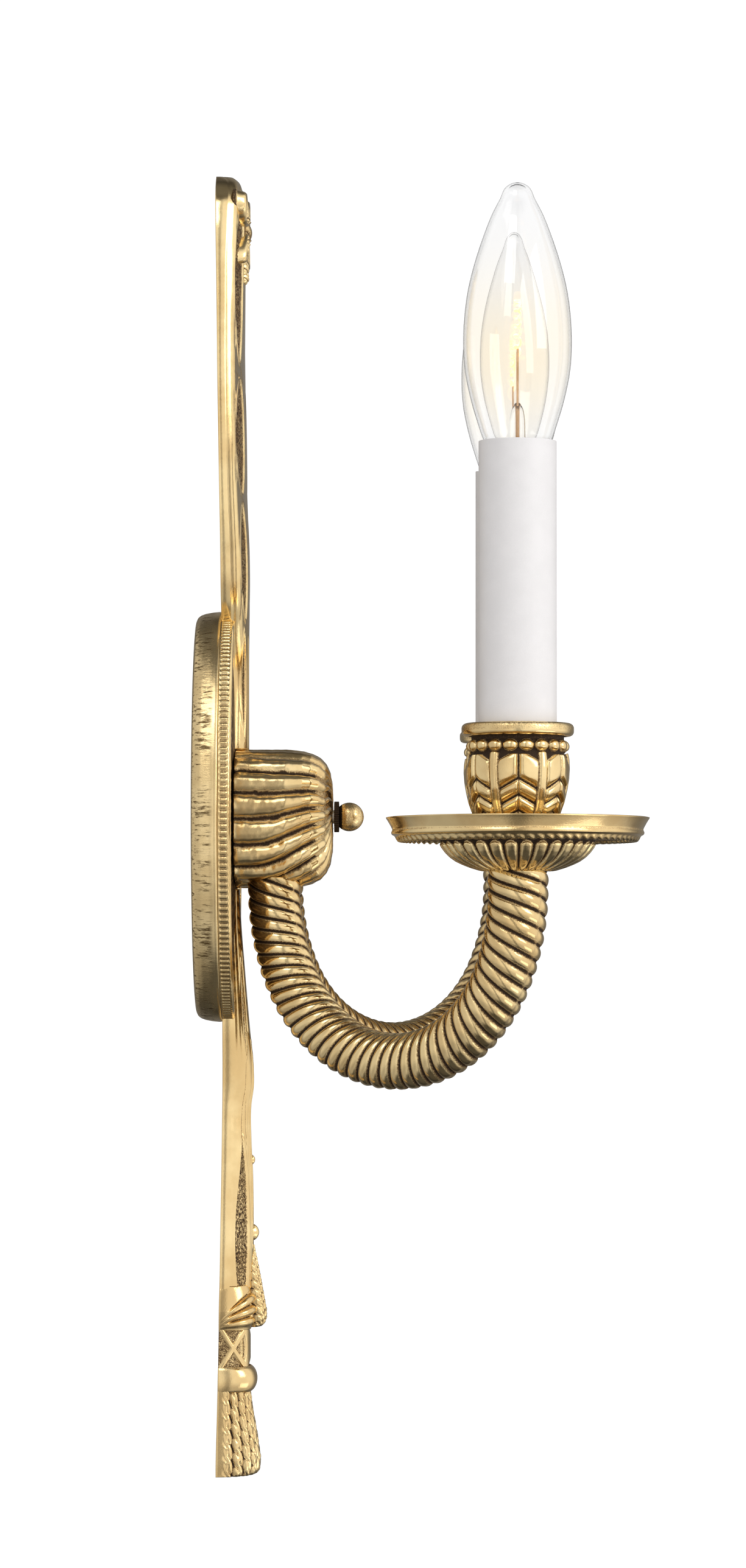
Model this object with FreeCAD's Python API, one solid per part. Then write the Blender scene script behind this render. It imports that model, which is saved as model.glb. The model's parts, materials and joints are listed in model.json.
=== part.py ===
import FreeCAD, Part
import math
import os

# A two-light electric wall sconce in cast brass. A long ribbon-and-tassel backplate is laid over a
# shallow oval canopy, a hollow cup-shaped body stands on its middle, and two U-shaped arms leave the
# underside of the body and each carry a drip pan, a candle cup, a white candle sleeve and a bulb.
#
# Frame in millimetres: the origin is the middle of the wall face of the canopy, +Y goes into the
# wall, so the sconce faces -Y, +X is to the right of someone facing it, and +Z is up.
# Every part of a candle is drawn upright on the Z axis at its true height and then leaned and
# carried to its arm by to_candle().

V = FreeCAD.Vector
SIDES = {"left": -1, "right": 1}

# ---- wall fixing
STRAP_LENGTH = 104.0
STRAP_WIDTH = 19.0
STRAP_THICK = 1.6
SLOT_SPACING = 88.9
SLOT_RADIUS = 2.4
SLOT_LENGTH = 9.0
ROD_RADIUS = 2.05
ROD_HOLE_RADIUS = 2.1
ROD_BACK_Y = -0.2
ROD_FRONT_Y = -47.5
GROUND_SCREW_Z = -20.0

# ---- canopy and backplate
CANOPY_DEPTH = 8.0
CANOPY_WALL = 1.6
CANOPY_FACE_THICK = 1.2
CANOPY_HALF_WIDTH = 44.0
CANOPY_HALF_HEIGHT = 62.5
CANOPY_BACK_INSET = 1.9
CANOPY_WINDOW_HALF_WIDTH = 27.0
CANOPY_WINDOW_HALF_HEIGHT = 46.0
PLATE_THICK = 4.0
WIRE_HOLE_HALF_WIDTH = 16.0
WIRE_HOLE_HALF_HEIGHT = 12.0
STRIP_SHOULDER = 2.0
STRIP_FACE_SHARE = 0.72
ARCH_START_Z = 75.0
ARCH_END_Z = 197.0
ARCH_DEPTH = 1.9
BOW_BACK_Y = -12.5
BOW_FRONT_Y = -15.6
BOW_CENTRE_X = 9.6
BOW_CENTRE_Z = 179.0
BOW_HALF_LENGTH = 8.6
BOW_HALF_BREADTH = 5.4
BOW_RISE_DEGREES = 25.0
BOW_EDGE_ROUND = 1.2
BOW_KNOT_RADIUS = 4.4
BOW_KNOT_DEPTH = 3.9
BOW_KNOT_Z = 174.5

# ---- body cup
BODY_HALF_WIDTH = 27.0
BODY_HALF_HEIGHT = 21.0
BODY_CENTRE_Z = -0.6
BODY_CORNER = 16.0
BODY_BACK_Y = -(CANOPY_DEPTH + PLATE_THICK)
BODY_FRONT_Y = -41.5
BODY_WALL = 1.6
BODY_FRONT_ROUND = 8.5
BODY_BOTTOM_Z = BODY_CENTRE_Z - BODY_HALF_HEIGHT

# ---- finial
FINIAL_GAP = 0.3
FINIAL_FLANGE_RADIUS = 4.8
FINIAL_FLANGE_THICK = 1.5
FINIAL_NECK_RADIUS = 2.9
FINIAL_BALL_RADIUS = 4.4
FINIAL_BALL_Y = -46.4

# ---- arms
ARM_START_X = 12.0
ARM_START_Y = -24.0
CANDLE_X = 70.0
CANDLE_Y = -96.7
ARM_DROP = 51.0
ARM_SIDE_ARC_RADIUS = 58.0
ARM_RADIUS = 8.2
ARM_BORE_RADIUS = 3.6
ARM_TOP_Z = -15.8
ARM_COLLAR_RADIUS = 8.8
ARM_COLLAR_BOTTOM_Z = -22.0
NIPPLE_RADIUS = 4.8
NIPPLE_BORE_RADIUS = 3.4
NIPPLE_HOLE_RADIUS = 5.0
NUT_FLATS = 12.6
NUT_THICK = 3.0
NUT_PAD_RADIUS = 7.9
NUT_PAD_TOP_Z = -16.8

# ---- candle
LEAN_DEGREES = 1.8
PAN_RIM_RADIUS = 38.6
PAN_RIM_Z = -0.2
PAN_UNDERSIDE_Z = -7.4
PAN_FLOOR_Z = -13.8
CUP_FLOOR_Z = 8.7
CUP_TOP_Z = 27.3
CUP_BORE_RADIUS = 11.75
CUP_BEAD_RADIUS = 1.35
CUP_BEAD_RING_RADIUS = 13.6
CUP_BEAD_Z = 20.4
CUP_BEADS = 18
SLEEVE_RADIUS = 11.4
SLEEVE_BORE_RADIUS = 10.4
SLEEVE_BOTTOM_Z = 9.0
SLEEVE_TOP_Z = 109.8
LEG_THICK = 1.0
LEG_OUTER_X = 9.2
LEG_HALF_WIDTH = 3.0
LEG_FOOT_RADIUS = 7.6
SOCKET_BOTTOM_Z = 77.5
SOCKET_TOP_Z = 102.0
SOCKET_RADIUS = 9.4
SOCKET_CAVITY_Z = 80.5
SHELL_RADIUS = 6.55
SHELL_BORE_RADIUS = 5.95
BULB_BASE_RADIUS = 5.85
BULB_BASE_BOTTOM_Z = 87.0
BULB_BASE_TOP_Z = 103.2
BULB_TIP_Z = 82.6
BULB_GLASS_WALL = 0.8
BULB_TOP_Z = 185.9
# radius of the glass at heights up its torpedo shape
BULB_OUTLINE = [(5.7, 103.2), (7.0, 105.6), (9.9, 109.8), (12.8, 119.0), (15.2, 128.5),
                (15.9, 138.5), (15.2, 150.0), (12.8, 161.0), (9.6, 171.0), (5.2, 181.0)]

# ---- wiring
WIRE_RADIUS = 0.9
WIRE_SPREAD = 1.35
WIRE_END_GAP = 0.05
CONNECTOR_RADIUS = 4.2
CONNECTOR_X = 9.0
CONNECTOR_Y = -20.0
CONNECTOR_BOTTOM_Z = 4.0
CONNECTOR_HEIGHT = 14.0


# ---------------------------------------------------------------- general shapes

def straight(*points):
    """Straight edges through (radius, z) points in the XZ plane."""
    corners = [V(r, 0, z) for r, z in points]
    return [Part.LineSegment(a, b).toShape() for a, b in zip(corners, corners[1:])]


def smooth(*points):
    """One smooth curved edge through (radius, z) points in the XZ plane."""
    curve = Part.BSplineCurve()
    curve.interpolate([V(r, 0, z) for r, z in points])
    return [curve.toShape()]


def lathe(edges):
    """The solid turned about the Z axis by a closed outline of edges in the XZ plane."""
    face = Part.Face(Part.Wire(Part.__sortEdges__(edges)))
    return face.revolve(V(0, 0, 0), V(0, 0, 1), 360)


def turned(*points):
    """The solid turned about Z by a closed outline of straight edges."""
    return lathe(straight(*points, points[0]))


def tube(outer, inner, z_low, z_high):
    """An upright tube on the Z axis."""
    return turned((inner, z_low), (outer, z_low), (outer, z_high), (inner, z_high))


def rod_between(start, end, radius):
    """A round bar from one point to another."""
    along = end - start
    return Part.makeCylinder(radius, along.Length, start, along)


def forward(shape):
    """Turn a shape drawn up the Z axis so that its Z points out of the wall, along -Y."""
    return shape.rotated(V(0, 0, 0), V(1, 0, 0), 90)


def ellipse_wire(half_width, half_height, y):
    """An upright ellipse in a plane parallel to the wall."""
    wide, tall = V(half_width, y, 0), V(0, y, half_height)
    major, minor = (tall, wide) if half_height > half_width else (wide, tall)
    return Part.Wire(Part.Ellipse(major, minor, V(0, y, 0)).toShape())


def oval(half_width, half_height, y_back, y_front):
    """A flat-faced oval block with straight sides."""
    face = Part.Face(ellipse_wire(half_width, half_height, y_back))
    return face.extrude(V(0, y_front - y_back, 0))


def hexagon_nut(flats, thick, bore, z_low):
    """A six-sided nut lying flat on the Z axis."""
    corner = flats / math.sqrt(3)
    corners = [V(corner * math.cos(math.radians(60 * i)), corner * math.sin(math.radians(60 * i)), z_low)
               for i in range(6)]
    blank = Part.Face(Part.makePolygon(corners + corners[:1])).extrude(V(0, 0, thick))
    return blank.cut(Part.makeCylinder(bore, thick, V(0, 0, z_low)))


def loft(sections):
    """A straight-sided solid through closed wires."""
    return Part.makeLoft(sections, True, True)


def rounded_block(half_width, half_height, corner, y_back, y_front, front_round):
    """A block with rounded upright corners, standing out of the wall, with a rounded front edge."""
    x = half_width - corner
    z = half_height - corner
    centres = [(x, z, 0), (-x, z, 90), (-x, -z, 180), (x, -z, 270)]
    edges = []
    ends = []
    for cx, cz, start in centres:
        spots = [math.radians(start + turn) for turn in (0, 45, 90)]
        a, b, c = [V(cx + corner * math.cos(t), y_back, BODY_CENTRE_Z + cz + corner * math.sin(t))
                   for t in spots]
        edges.append(Part.Arc(a, b, c).toShape())
        ends.append((a, c))
    for i in range(4):
        edges.append(Part.LineSegment(ends[i][1], ends[(i + 1) % 4][0]).toShape())
    face = Part.Face(Part.Wire(Part.__sortEdges__(edges)))
    block = face.extrude(V(0, y_front - y_back, 0))
    front_edges = [e for e in block.Edges if all(abs(v.Y - y_front) < 1e-6 for v in e.Vertexes)]
    return block.makeFillet(front_round, front_edges)


def round_path(points):
    """A path of straight runs joined by tangent arcs as large as the runs allow."""
    edges = []
    last = points[0]
    for before, here, after in zip(points, points[1:], points[2:]):
        back = before - here
        ahead = after - here
        turn = math.pi - back.getAngle(ahead)
        setback = 0.45 * min(back.Length, ahead.Length)
        to_back = V(back).normalize()
        to_ahead = V(ahead).normalize()
        radius = setback / math.tan(turn / 2)
        bisector = (to_back + to_ahead).normalize()
        centre = here + bisector * math.hypot(radius, setback)
        middle = centre - bisector * radius
        start = here + to_back * setback
        end = here + to_ahead * setback
        edges.append(Part.LineSegment(last, start).toShape())
        edges.append(Part.Arc(start, middle, end).toShape())
        last = end
    edges.append(Part.LineSegment(last, points[-1]).toShape())
    return Part.Wire(edges)


def sweep_circle(path, radius, start, direction):
    """A round bar that follows a path."""
    circle = Part.Wire(Part.Circle(start, direction, radius).toShape())
    return path.makePipeShell([circle], True, False)


# ---------------------------------------------------------------- wall fixing

def mounting_strap():
    """The steel crossbar that is screwed to the outlet box through its two slots."""
    bar = Part.makeBox(STRAP_WIDTH, STRAP_THICK, STRAP_LENGTH,
                       V(-STRAP_WIDTH / 2, -STRAP_THICK, -STRAP_LENGTH / 2))
    straight_part = SLOT_LENGTH / 2 - SLOT_RADIUS
    for sign in (-1, 1):
        middle = sign * SLOT_SPACING / 2
        slot = Part.makeBox(2 * SLOT_RADIUS, STRAP_THICK, 2 * straight_part,
                            V(-SLOT_RADIUS, -STRAP_THICK, middle - straight_part))
        for end in (-1, 1):
            round_end = Part.makeCylinder(SLOT_RADIUS, STRAP_THICK,
                                          V(0, -STRAP_THICK, middle + end * straight_part), V(0, 1, 0))
            slot = slot.fuse(round_end)
        bar = bar.cut(slot.removeSplitter())
    return bar.cut(Part.makeCylinder(ROD_HOLE_RADIUS, STRAP_THICK, V(0, 0, 0), V(0, -1, 0)))


def ground_screw():
    """The round-headed screw in the strap that takes the ground wire."""
    return forward(turned((0, STRAP_THICK), (4.4, STRAP_THICK), (4.4, 2.9), (3.2, 4.0), (0, 4.0))
                   ).translated(V(0, 0, GROUND_SCREW_Z))


def centre_rod():
    """The threaded steel rod that runs from the strap to the finial and clamps the sconce."""
    return rod_between(V(0, ROD_BACK_Y, 0), V(0, ROD_FRONT_Y, 0), ROD_RADIUS)


def strap_nut():
    """The locknut that holds the rod to the strap."""
    return forward(hexagon_nut(8.0, 3.2, ROD_HOLE_RADIUS, STRAP_THICK))


# ---------------------------------------------------------------- canopy, backplate, body, finial

def canopy():
    """The shallow oval dish, open to the wall, that covers the outlet box."""
    back_w = CANOPY_HALF_WIDTH - CANOPY_BACK_INSET
    back_h = CANOPY_HALF_HEIGHT - CANOPY_BACK_INSET
    outer = loft([ellipse_wire(back_w, back_h, 0),
                  ellipse_wire(CANOPY_HALF_WIDTH, CANOPY_HALF_HEIGHT, -CANOPY_DEPTH)])
    inner_front = -(CANOPY_DEPTH - CANOPY_FACE_THICK)
    inner = loft([ellipse_wire(back_w - CANOPY_WALL, back_h - CANOPY_WALL, 0),
                  ellipse_wire(CANOPY_HALF_WIDTH - CANOPY_WALL, CANOPY_HALF_HEIGHT - CANOPY_WALL,
                               inner_front)])
    window = oval(CANOPY_WINDOW_HALF_WIDTH, CANOPY_WINDOW_HALF_HEIGHT, inner_front, -CANOPY_DEPTH)
    return outer.cut(inner).cut(window)


def casting_back(z):
    """How far the casting's back is from the wall at a height: its two ends arch towards the wall."""
    share = min(max((abs(z) - ARCH_START_Z) / (ARCH_END_Z - ARCH_START_Z), 0.0), 1.0)
    return CANOPY_DEPTH - ARCH_DEPTH * share ** 1.3


def strip_section(z, half_width, front):
    """The cross-section of a cast strip: flat back, upright sides and sloped shoulders."""
    back = -casting_back(z)
    corners = [(-half_width, back), (half_width, back), (half_width, -front + STRIP_SHOULDER),
               (STRIP_FACE_SHARE * half_width, -front), (-STRIP_FACE_SHARE * half_width, -front),
               (-half_width, -front + STRIP_SHOULDER)]
    points = [V(x, y, z) for x, y in corners]
    return Part.makePolygon(points + points[:1])


def strip(*stations):
    """A cast strip through stations of (height, half width, distance of the front from the wall)."""
    return loft([strip_section(*station) for station in stations])


def ribbon_bow():
    """The two loops and the knot of the bow in relief near the top of the backplate."""
    bow = Part.makeCylinder(BOW_KNOT_RADIUS, BOW_KNOT_DEPTH, V(0, BOW_BACK_Y, BOW_KNOT_Z), V(0, -1, 0))
    for side in SIDES.values():
        loop = oval(BOW_HALF_LENGTH, BOW_HALF_BREADTH, BOW_BACK_Y, BOW_FRONT_Y)
        rim = [e for e in loop.Edges if all(abs(v.Y - BOW_FRONT_Y) < 1e-6 for v in e.Vertexes)]
        loop = loop.makeFillet(BOW_EDGE_ROUND, rim).rotated(V(0, 0, 0), V(0, 1, 0), -side * BOW_RISE_DEGREES)
        bow = bow.fuse(loop.translated(V(side * BOW_CENTRE_X, 0, BOW_CENTRE_Z)))
    return bow


def backplate():
    """The front casting: oval plate, shield and bow above it, and stem and tassels below it."""
    plate = oval(CANOPY_HALF_WIDTH, CANOPY_HALF_HEIGHT, -CANOPY_DEPTH, -(CANOPY_DEPTH + PLATE_THICK))
    shield = strip((20.5, 8.4, 15.4), (50.0, 8.6, 15.4), (58.0, 13.0, 15.2), (64.0, 18.0, 15.0),
                   (81.0, 22.5, 14.6), (99.0, 25.5, 14.0), (128.0, 27.0, 13.5), (152.0, 24.0, 13.4),
                   (165.0, 21.8, 13.4), (181.0, 20.0, 13.4), (188.0, 17.5, 13.2), (192.0, 13.5, 12.6),
                   (194.5, 8.0, 11.0))
    stem = strip((-146.0, 8.4, 17.2), (-120.0, 7.4, 17.2), (-96.0, 6.2, 16.4), (-86.0, 5.6, 16.4),
                 (-78.0, 6.4, 17.1), (-63.0, 8.0, 15.8), (-44.0, 8.4, 14.2), (-21.7, 8.4, 13.0))
    centre_tassel = strip((-155.2, 4.4, 21.2), (-150.0, 4.4, 21.0), (-128.0, 3.0, 18.2), (-116.0, 2.2, 16.8))
    knot = strip((-155.0, 8.6, 18.0), (-150.0, 9.4, 18.4), (-143.0, 8.4, 17.6))
    neck = strip((-167.4, 7.6, 16.4), (-154.0, 7.6, 16.4))
    ring = strip((-174.4, 9.4, 18.0), (-171.0, 9.8, 18.6), (-167.4, 9.4, 18.0))
    skirt = strip((-200.0, 11.4, 18.8), (-195.0, 11.8, 19.4), (-188.0, 11.0, 18.6), (-180.0, 9.6, 17.2),
                  (-173.4, 8.4, 16.6))
    casting = plate
    for piece in (shield, ribbon_bow(), stem, centre_tassel, knot, neck, ring, skirt):
        casting = casting.fuse(piece)
    wire_hole = oval(WIRE_HOLE_HALF_WIDTH, WIRE_HOLE_HALF_HEIGHT, -CANOPY_DEPTH + 1, BODY_BACK_Y - 1)
    return casting.cut(wire_hole)


def body_cup():
    """The hollow cup that stands on the middle of the backplate and carries the arms."""
    outer = rounded_block(BODY_HALF_WIDTH, BODY_HALF_HEIGHT, BODY_CORNER,
                          BODY_BACK_Y, BODY_FRONT_Y, BODY_FRONT_ROUND)
    inner = rounded_block(BODY_HALF_WIDTH - BODY_WALL, BODY_HALF_HEIGHT - BODY_WALL,
                          BODY_CORNER - BODY_WALL, BODY_BACK_Y, BODY_FRONT_Y + BODY_WALL,
                          BODY_FRONT_ROUND - BODY_WALL)
    cup = outer.cut(inner)
    rod_hole = Part.makeCylinder(ROD_HOLE_RADIUS + 0.3, 4, V(0, BODY_FRONT_Y + 3, 0), V(0, -1, 0))
    cup = cup.cut(rod_hole)
    for side in SIDES.values():
        root = V(side * ARM_START_X, ARM_START_Y, BODY_BOTTOM_Z)
        pad = Part.makeCylinder(NUT_PAD_RADIUS, NUT_PAD_TOP_Z - BODY_BOTTOM_Z, root).common(outer)
        cup = cup.fuse(pad).cut(Part.makeCylinder(NIPPLE_HOLE_RADIUS, 2 * NUT_PAD_RADIUS, root - V(0, 0, 1)))
    return cup.removeSplitter()


def finial():
    """The turned nut on the front of the body: knurled flange, short neck and ball."""
    back = -BODY_FRONT_Y + FINIAL_GAP
    blank = tube(FINIAL_FLANGE_RADIUS, 0, back, back + FINIAL_FLANGE_THICK)
    neck = tube(FINIAL_NECK_RADIUS, 0, back + FINIAL_FLANGE_THICK, -FINIAL_BALL_Y)
    ball = Part.makeSphere(FINIAL_BALL_RADIUS, V(0, 0, -FINIAL_BALL_Y))
    blank = blank.fuse([neck, ball]).removeSplitter()
    thread = Part.makeCylinder(ROD_HOLE_RADIUS, -ROD_FRONT_Y + FINIAL_GAP)
    return forward(blank.cut(thread))


# ---------------------------------------------------------------- arms

def arm_direction(side):
    """Unit vector along an arm's plan view, from the body to the candle."""
    return V(side * (CANDLE_X - ARM_START_X), CANDLE_Y - ARM_START_Y, 0).normalize()


def arm_span():
    """Plan length of an arm from its root to the candle's axis."""
    return math.hypot(CANDLE_X - ARM_START_X, CANDLE_Y - ARM_START_Y)


def arm_point(side, along, up):
    """The point at a plan distance from an arm's root and at a height, in the arm's own plane."""
    root = V(side * ARM_START_X, ARM_START_Y, up)
    return root + arm_direction(side) * along


def arm_arcs():
    """The U as three tangent arcs, each a centre, radius and pair of angles in the arm's plane."""
    half_span = arm_span() / 2
    side_radius = ARM_SIDE_ARC_RADIUS
    offset = side_radius - half_span
    low_radius = (side_radius ** 2 - offset ** 2 - ARM_DROP ** 2) / (2 * (side_radius - ARM_DROP))
    low_centre = BODY_BOTTOM_Z - ARM_DROP + low_radius
    meet = math.degrees(math.atan2(BODY_BOTTOM_Z - low_centre, offset))
    return [(half_span + offset, BODY_BOTTOM_Z, side_radius, 180, 180 + meet),
            (half_span, low_centre, low_radius, 180 + meet, 360 - meet),
            (half_span - offset, BODY_BOTTOM_Z, side_radius, 360 - meet, 360)]


def arm_path_point(side, arc, degrees):
    """A point on one of the arm's arcs."""
    centre_along, centre_up, radius = arc[:3]
    angle = math.radians(degrees)
    return arm_point(side, centre_along + radius * math.cos(angle), centre_up + radius * math.sin(angle))


def arm_path(side):
    """The centreline of an arm from the body's underside to just below the drip pan."""
    edges = []
    for arc in arm_arcs():
        start, end = arc[3:]
        spots = [arm_path_point(side, arc, d) for d in (start, (start + end) / 2, end)]
        edges.append(Part.Arc(*spots).toShape())
    return Part.Wire(edges)


def to_candle(shape, side):
    """Lean a part drawn upright on the Z axis towards the middle plane and carry it to its arm."""
    pivot = V(0, 0, ARM_TOP_Z)
    leaned = shape.rotated(pivot, V(0, 1, 0), -side * LEAN_DEGREES)
    return leaned.translated(V(side * CANDLE_X, CANDLE_Y, 0))


def candle_point(side, z, shift=V(0, 0, 0)):
    """A point on a candle's leaned axis at a height, moved by a plan shift."""
    rise = z - ARM_TOP_Z
    lean = math.radians(LEAN_DEGREES)
    return V(side * (CANDLE_X - rise * math.sin(lean)), CANDLE_Y, ARM_TOP_Z + rise * math.cos(lean)) + shift


def arm(side):
    """A U-shaped tube with a leaned collar at the candle end."""
    path = arm_path(side)
    root = arm_point(side, 0, BODY_BOTTOM_Z)
    tube_outer = sweep_circle(path, ARM_RADIUS, root, V(0, 0, -1))
    tube_bore = sweep_circle(path, ARM_BORE_RADIUS, root, V(0, 0, -1))
    collar = to_candle(Part.makeCylinder(ARM_COLLAR_RADIUS, ARM_TOP_Z - ARM_COLLAR_BOTTOM_Z,
                                         V(0, 0, ARM_COLLAR_BOTTOM_Z)), side)
    solid = tube_outer.fuse(collar)
    top_thread = Part.makeCylinder(NIPPLE_RADIUS, 12, V(0, 0, ARM_TOP_Z - 11))
    root_thread = Part.makeCylinder(NIPPLE_RADIUS, 11, root - V(0, 0, 10))
    return solid.cut([tube_bore, to_candle(top_thread, side), root_thread]).removeSplitter()


def arm_nipple(side):
    """The short threaded pipe that joins an arm's root to the body."""
    root = arm_point(side, 0, 0)
    pipe = tube(NIPPLE_RADIUS, NIPPLE_BORE_RADIUS, BODY_BOTTOM_Z - 9.5, NUT_PAD_TOP_Z + NUT_THICK + 1)
    return pipe.translated(root)


def arm_nut(side):
    """The locknut inside the body on an arm's nipple."""
    root = arm_point(side, 0, 0)
    nut = hexagon_nut(NUT_FLATS, NUT_THICK, NIPPLE_RADIUS, NUT_PAD_TOP_Z)
    return nut.translated(root)


# ---------------------------------------------------------------- candle parts, upright on Z

def drip_pan():
    """The dish under the candle: rim, flat underside with a ring, and a rounded bowl."""
    rim = smooth((36.6, -4.7), (37.6, -3.0), (PAN_RIM_RADIUS, PAN_RIM_Z))
    lip = straight((PAN_RIM_RADIUS, PAN_RIM_Z), (37.5, PAN_RIM_Z))
    inside = smooth((37.5, PAN_RIM_Z), (36.2, -2.6), (34.0, -4.3), (30.0, -5.4), (24.0, -5.9))
    bowl_inside = smooth((24.0, -5.9), (20.6, -7.6), (16.5, -11.2), (11.5, -13.2),
                         (NIPPLE_HOLE_RADIUS, PAN_FLOOR_Z))
    hole = straight((NIPPLE_HOLE_RADIUS, PAN_FLOOR_Z), (NIPPLE_HOLE_RADIUS, ARM_TOP_Z),
                    (8.2, ARM_TOP_Z))
    bowl = smooth((8.2, ARM_TOP_Z), (13.7, -14.6), (17.7, -12.9), (20.7, -10.8), (22.9, PAN_UNDERSIDE_Z))
    under = straight((22.9, PAN_UNDERSIDE_Z), (34.2, PAN_UNDERSIDE_Z), (35.6, -6.2), (36.6, -4.7))
    return lathe(rim + lip + inside + bowl_inside + hole + bowl + under)


def candle_cup():
    """The cast cup that holds the candle sleeve, with a flange and a row of beads."""
    foot = straight((NIPPLE_HOLE_RADIUS, PAN_FLOOR_Z), (8.6, PAN_FLOOR_Z + 0.7))
    outside = smooth((8.6, PAN_FLOOR_Z + 0.7), (8.0, -9.0), (9.2, -4.0), (11.9, 1.2), (13.9, 8.0),
                     (14.5, 14.0), (13.8, 22.0))
    flange = straight((13.8, 22.0), (13.8, 24.3), (15.9, 24.3), (16.25, 24.8), (16.25, 26.8),
                      (15.7, CUP_TOP_Z), (CUP_BORE_RADIUS, CUP_TOP_Z))
    inside = straight((CUP_BORE_RADIUS, CUP_TOP_Z), (CUP_BORE_RADIUS, CUP_FLOOR_Z),
                      (NIPPLE_HOLE_RADIUS, CUP_FLOOR_Z), (NIPPLE_HOLE_RADIUS, PAN_FLOOR_Z))
    cup = lathe(foot + outside + flange + inside)
    beads = []
    for i in range(CUP_BEADS):
        angle = 2 * math.pi * i / CUP_BEADS
        spot = V(CUP_BEAD_RING_RADIUS * math.cos(angle), CUP_BEAD_RING_RADIUS * math.sin(angle), CUP_BEAD_Z)
        beads.append(Part.makeSphere(CUP_BEAD_RADIUS, spot))
    return cup.fuse(beads)


def candle_nipple():
    """The threaded pipe that clamps pan and cup to the arm and lets the wires through."""
    return tube(NIPPLE_RADIUS, NIPPLE_BORE_RADIUS, ARM_TOP_Z - 10.5, 13.6)


def candle_nut():
    """The nut on the candle nipple, above the socket's leg."""
    return hexagon_nut(NUT_FLATS, NUT_THICK, NIPPLE_RADIUS, CUP_FLOOR_Z + LEG_THICK)


def socket_leg():
    """The bent steel leg that holds the lamp socket up inside the sleeve."""
    foot = tube(LEG_FOOT_RADIUS, NIPPLE_HOLE_RADIUS, CUP_FLOOR_Z, CUP_FLOOR_Z + LEG_THICK)
    heel = Part.makeBox(LEG_OUTER_X - NIPPLE_HOLE_RADIUS - 1, 2 * LEG_HALF_WIDTH, LEG_THICK,
                        V(NIPPLE_HOLE_RADIUS + 1, -LEG_HALF_WIDTH, CUP_FLOOR_Z))
    upright = Part.makeBox(LEG_THICK, 2 * LEG_HALF_WIDTH, SOCKET_BOTTOM_Z - CUP_FLOOR_Z,
                           V(LEG_OUTER_X - LEG_THICK, -LEG_HALF_WIDTH, CUP_FLOOR_Z))
    tab = Part.makeBox(LEG_OUTER_X - 3.6, 2 * LEG_HALF_WIDTH, LEG_THICK,
                       V(3.6, -LEG_HALF_WIDTH, SOCKET_BOTTOM_Z - LEG_THICK))
    return foot.fuse([heel, upright, tab]).removeSplitter()


def socket_housing():
    """The black insulating body of the candelabra socket."""
    return turned((0, SOCKET_BOTTOM_Z), (SOCKET_RADIUS - 0.8, SOCKET_BOTTOM_Z),
                  (SOCKET_RADIUS, SOCKET_BOTTOM_Z + 0.8), (SOCKET_RADIUS, SOCKET_TOP_Z - 0.6),
                  (SOCKET_RADIUS - 0.6, SOCKET_TOP_Z), (SHELL_RADIUS, SOCKET_TOP_Z),
                  (SHELL_RADIUS, SOCKET_CAVITY_Z), (0, SOCKET_CAVITY_Z))


def socket_shell():
    """The brass screw shell lining the socket."""
    return tube(SHELL_RADIUS, SHELL_BORE_RADIUS, SOCKET_CAVITY_Z + 3.0, SOCKET_TOP_Z - 0.4)


def socket_contact():
    """The sprung centre contact at the bottom of the socket."""
    base = Part.makeBox(6.0, 3.0, 0.5, V(-3.0, -1.5, SOCKET_CAVITY_Z))
    crown = turned((0, SOCKET_CAVITY_Z + 0.5), (1.6, SOCKET_CAVITY_Z + 0.5), (1.0, BULB_TIP_Z - 0.3),
                   (0, BULB_TIP_Z - 0.3))
    return base.fuse(crown).removeSplitter()


def candle_sleeve():
    """The white tube that looks like a candle and hides the socket."""
    return turned((SLEEVE_BORE_RADIUS, SLEEVE_BOTTOM_Z), (SLEEVE_RADIUS, SLEEVE_BOTTOM_Z),
                  (SLEEVE_RADIUS, SLEEVE_TOP_Z - 0.3), (SLEEVE_RADIUS - 0.3, SLEEVE_TOP_Z),
                  (SLEEVE_BORE_RADIUS, SLEEVE_TOP_Z))


def bulb_glass():
    """The clear torpedo-shaped envelope of the bulb, hollow."""
    wall = BULB_GLASS_WALL
    outer_top = (0.0, BULB_TOP_Z)
    inner_points = [(r - wall, z) for r, z in BULB_OUTLINE[:-1]] + [(4.5, 180.6)]
    inner_top = (0.0, BULB_TOP_Z - wall)
    outside = smooth(*BULB_OUTLINE, outer_top)
    inside = smooth(*inner_points, inner_top)
    foot = straight(inner_points[0], BULB_OUTLINE[0])
    tip = straight(inner_top, outer_top)
    return lathe(outside + inside + foot + tip)


def bulb_base():
    """The brass screw base of the bulb."""
    wall = 0.35
    return tube(BULB_BASE_RADIUS, BULB_BASE_RADIUS - wall, BULB_BASE_BOTTOM_Z, BULB_BASE_TOP_Z - 0.1)


def bulb_insulator():
    """The black glass insulator that closes the bulb's base around its tip contact."""
    return turned((0, 84.2), (2.6, 84.2), (5.0, BULB_BASE_BOTTOM_Z), (5.0, BULB_BASE_BOTTOM_Z + 1.2),
                  (0, BULB_BASE_BOTTOM_Z + 1.2))


def bulb_contact():
    """The solder tip under the bulb."""
    return turned((0, BULB_TIP_Z), (1.7, BULB_TIP_Z + 0.4), (2.2, 84.2), (0, 84.2))


def bulb_stem():
    """The glass flare and stem that carry the filament's supports."""
    stem = turned((0, 101.0), (4.4, 101.0), (4.0, 104.0), (2.4, 108.0), (2.0, 118.0), (1.2, 121.0),
                  (0, 121.0))
    return stem.cut(bulb_filament())


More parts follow.
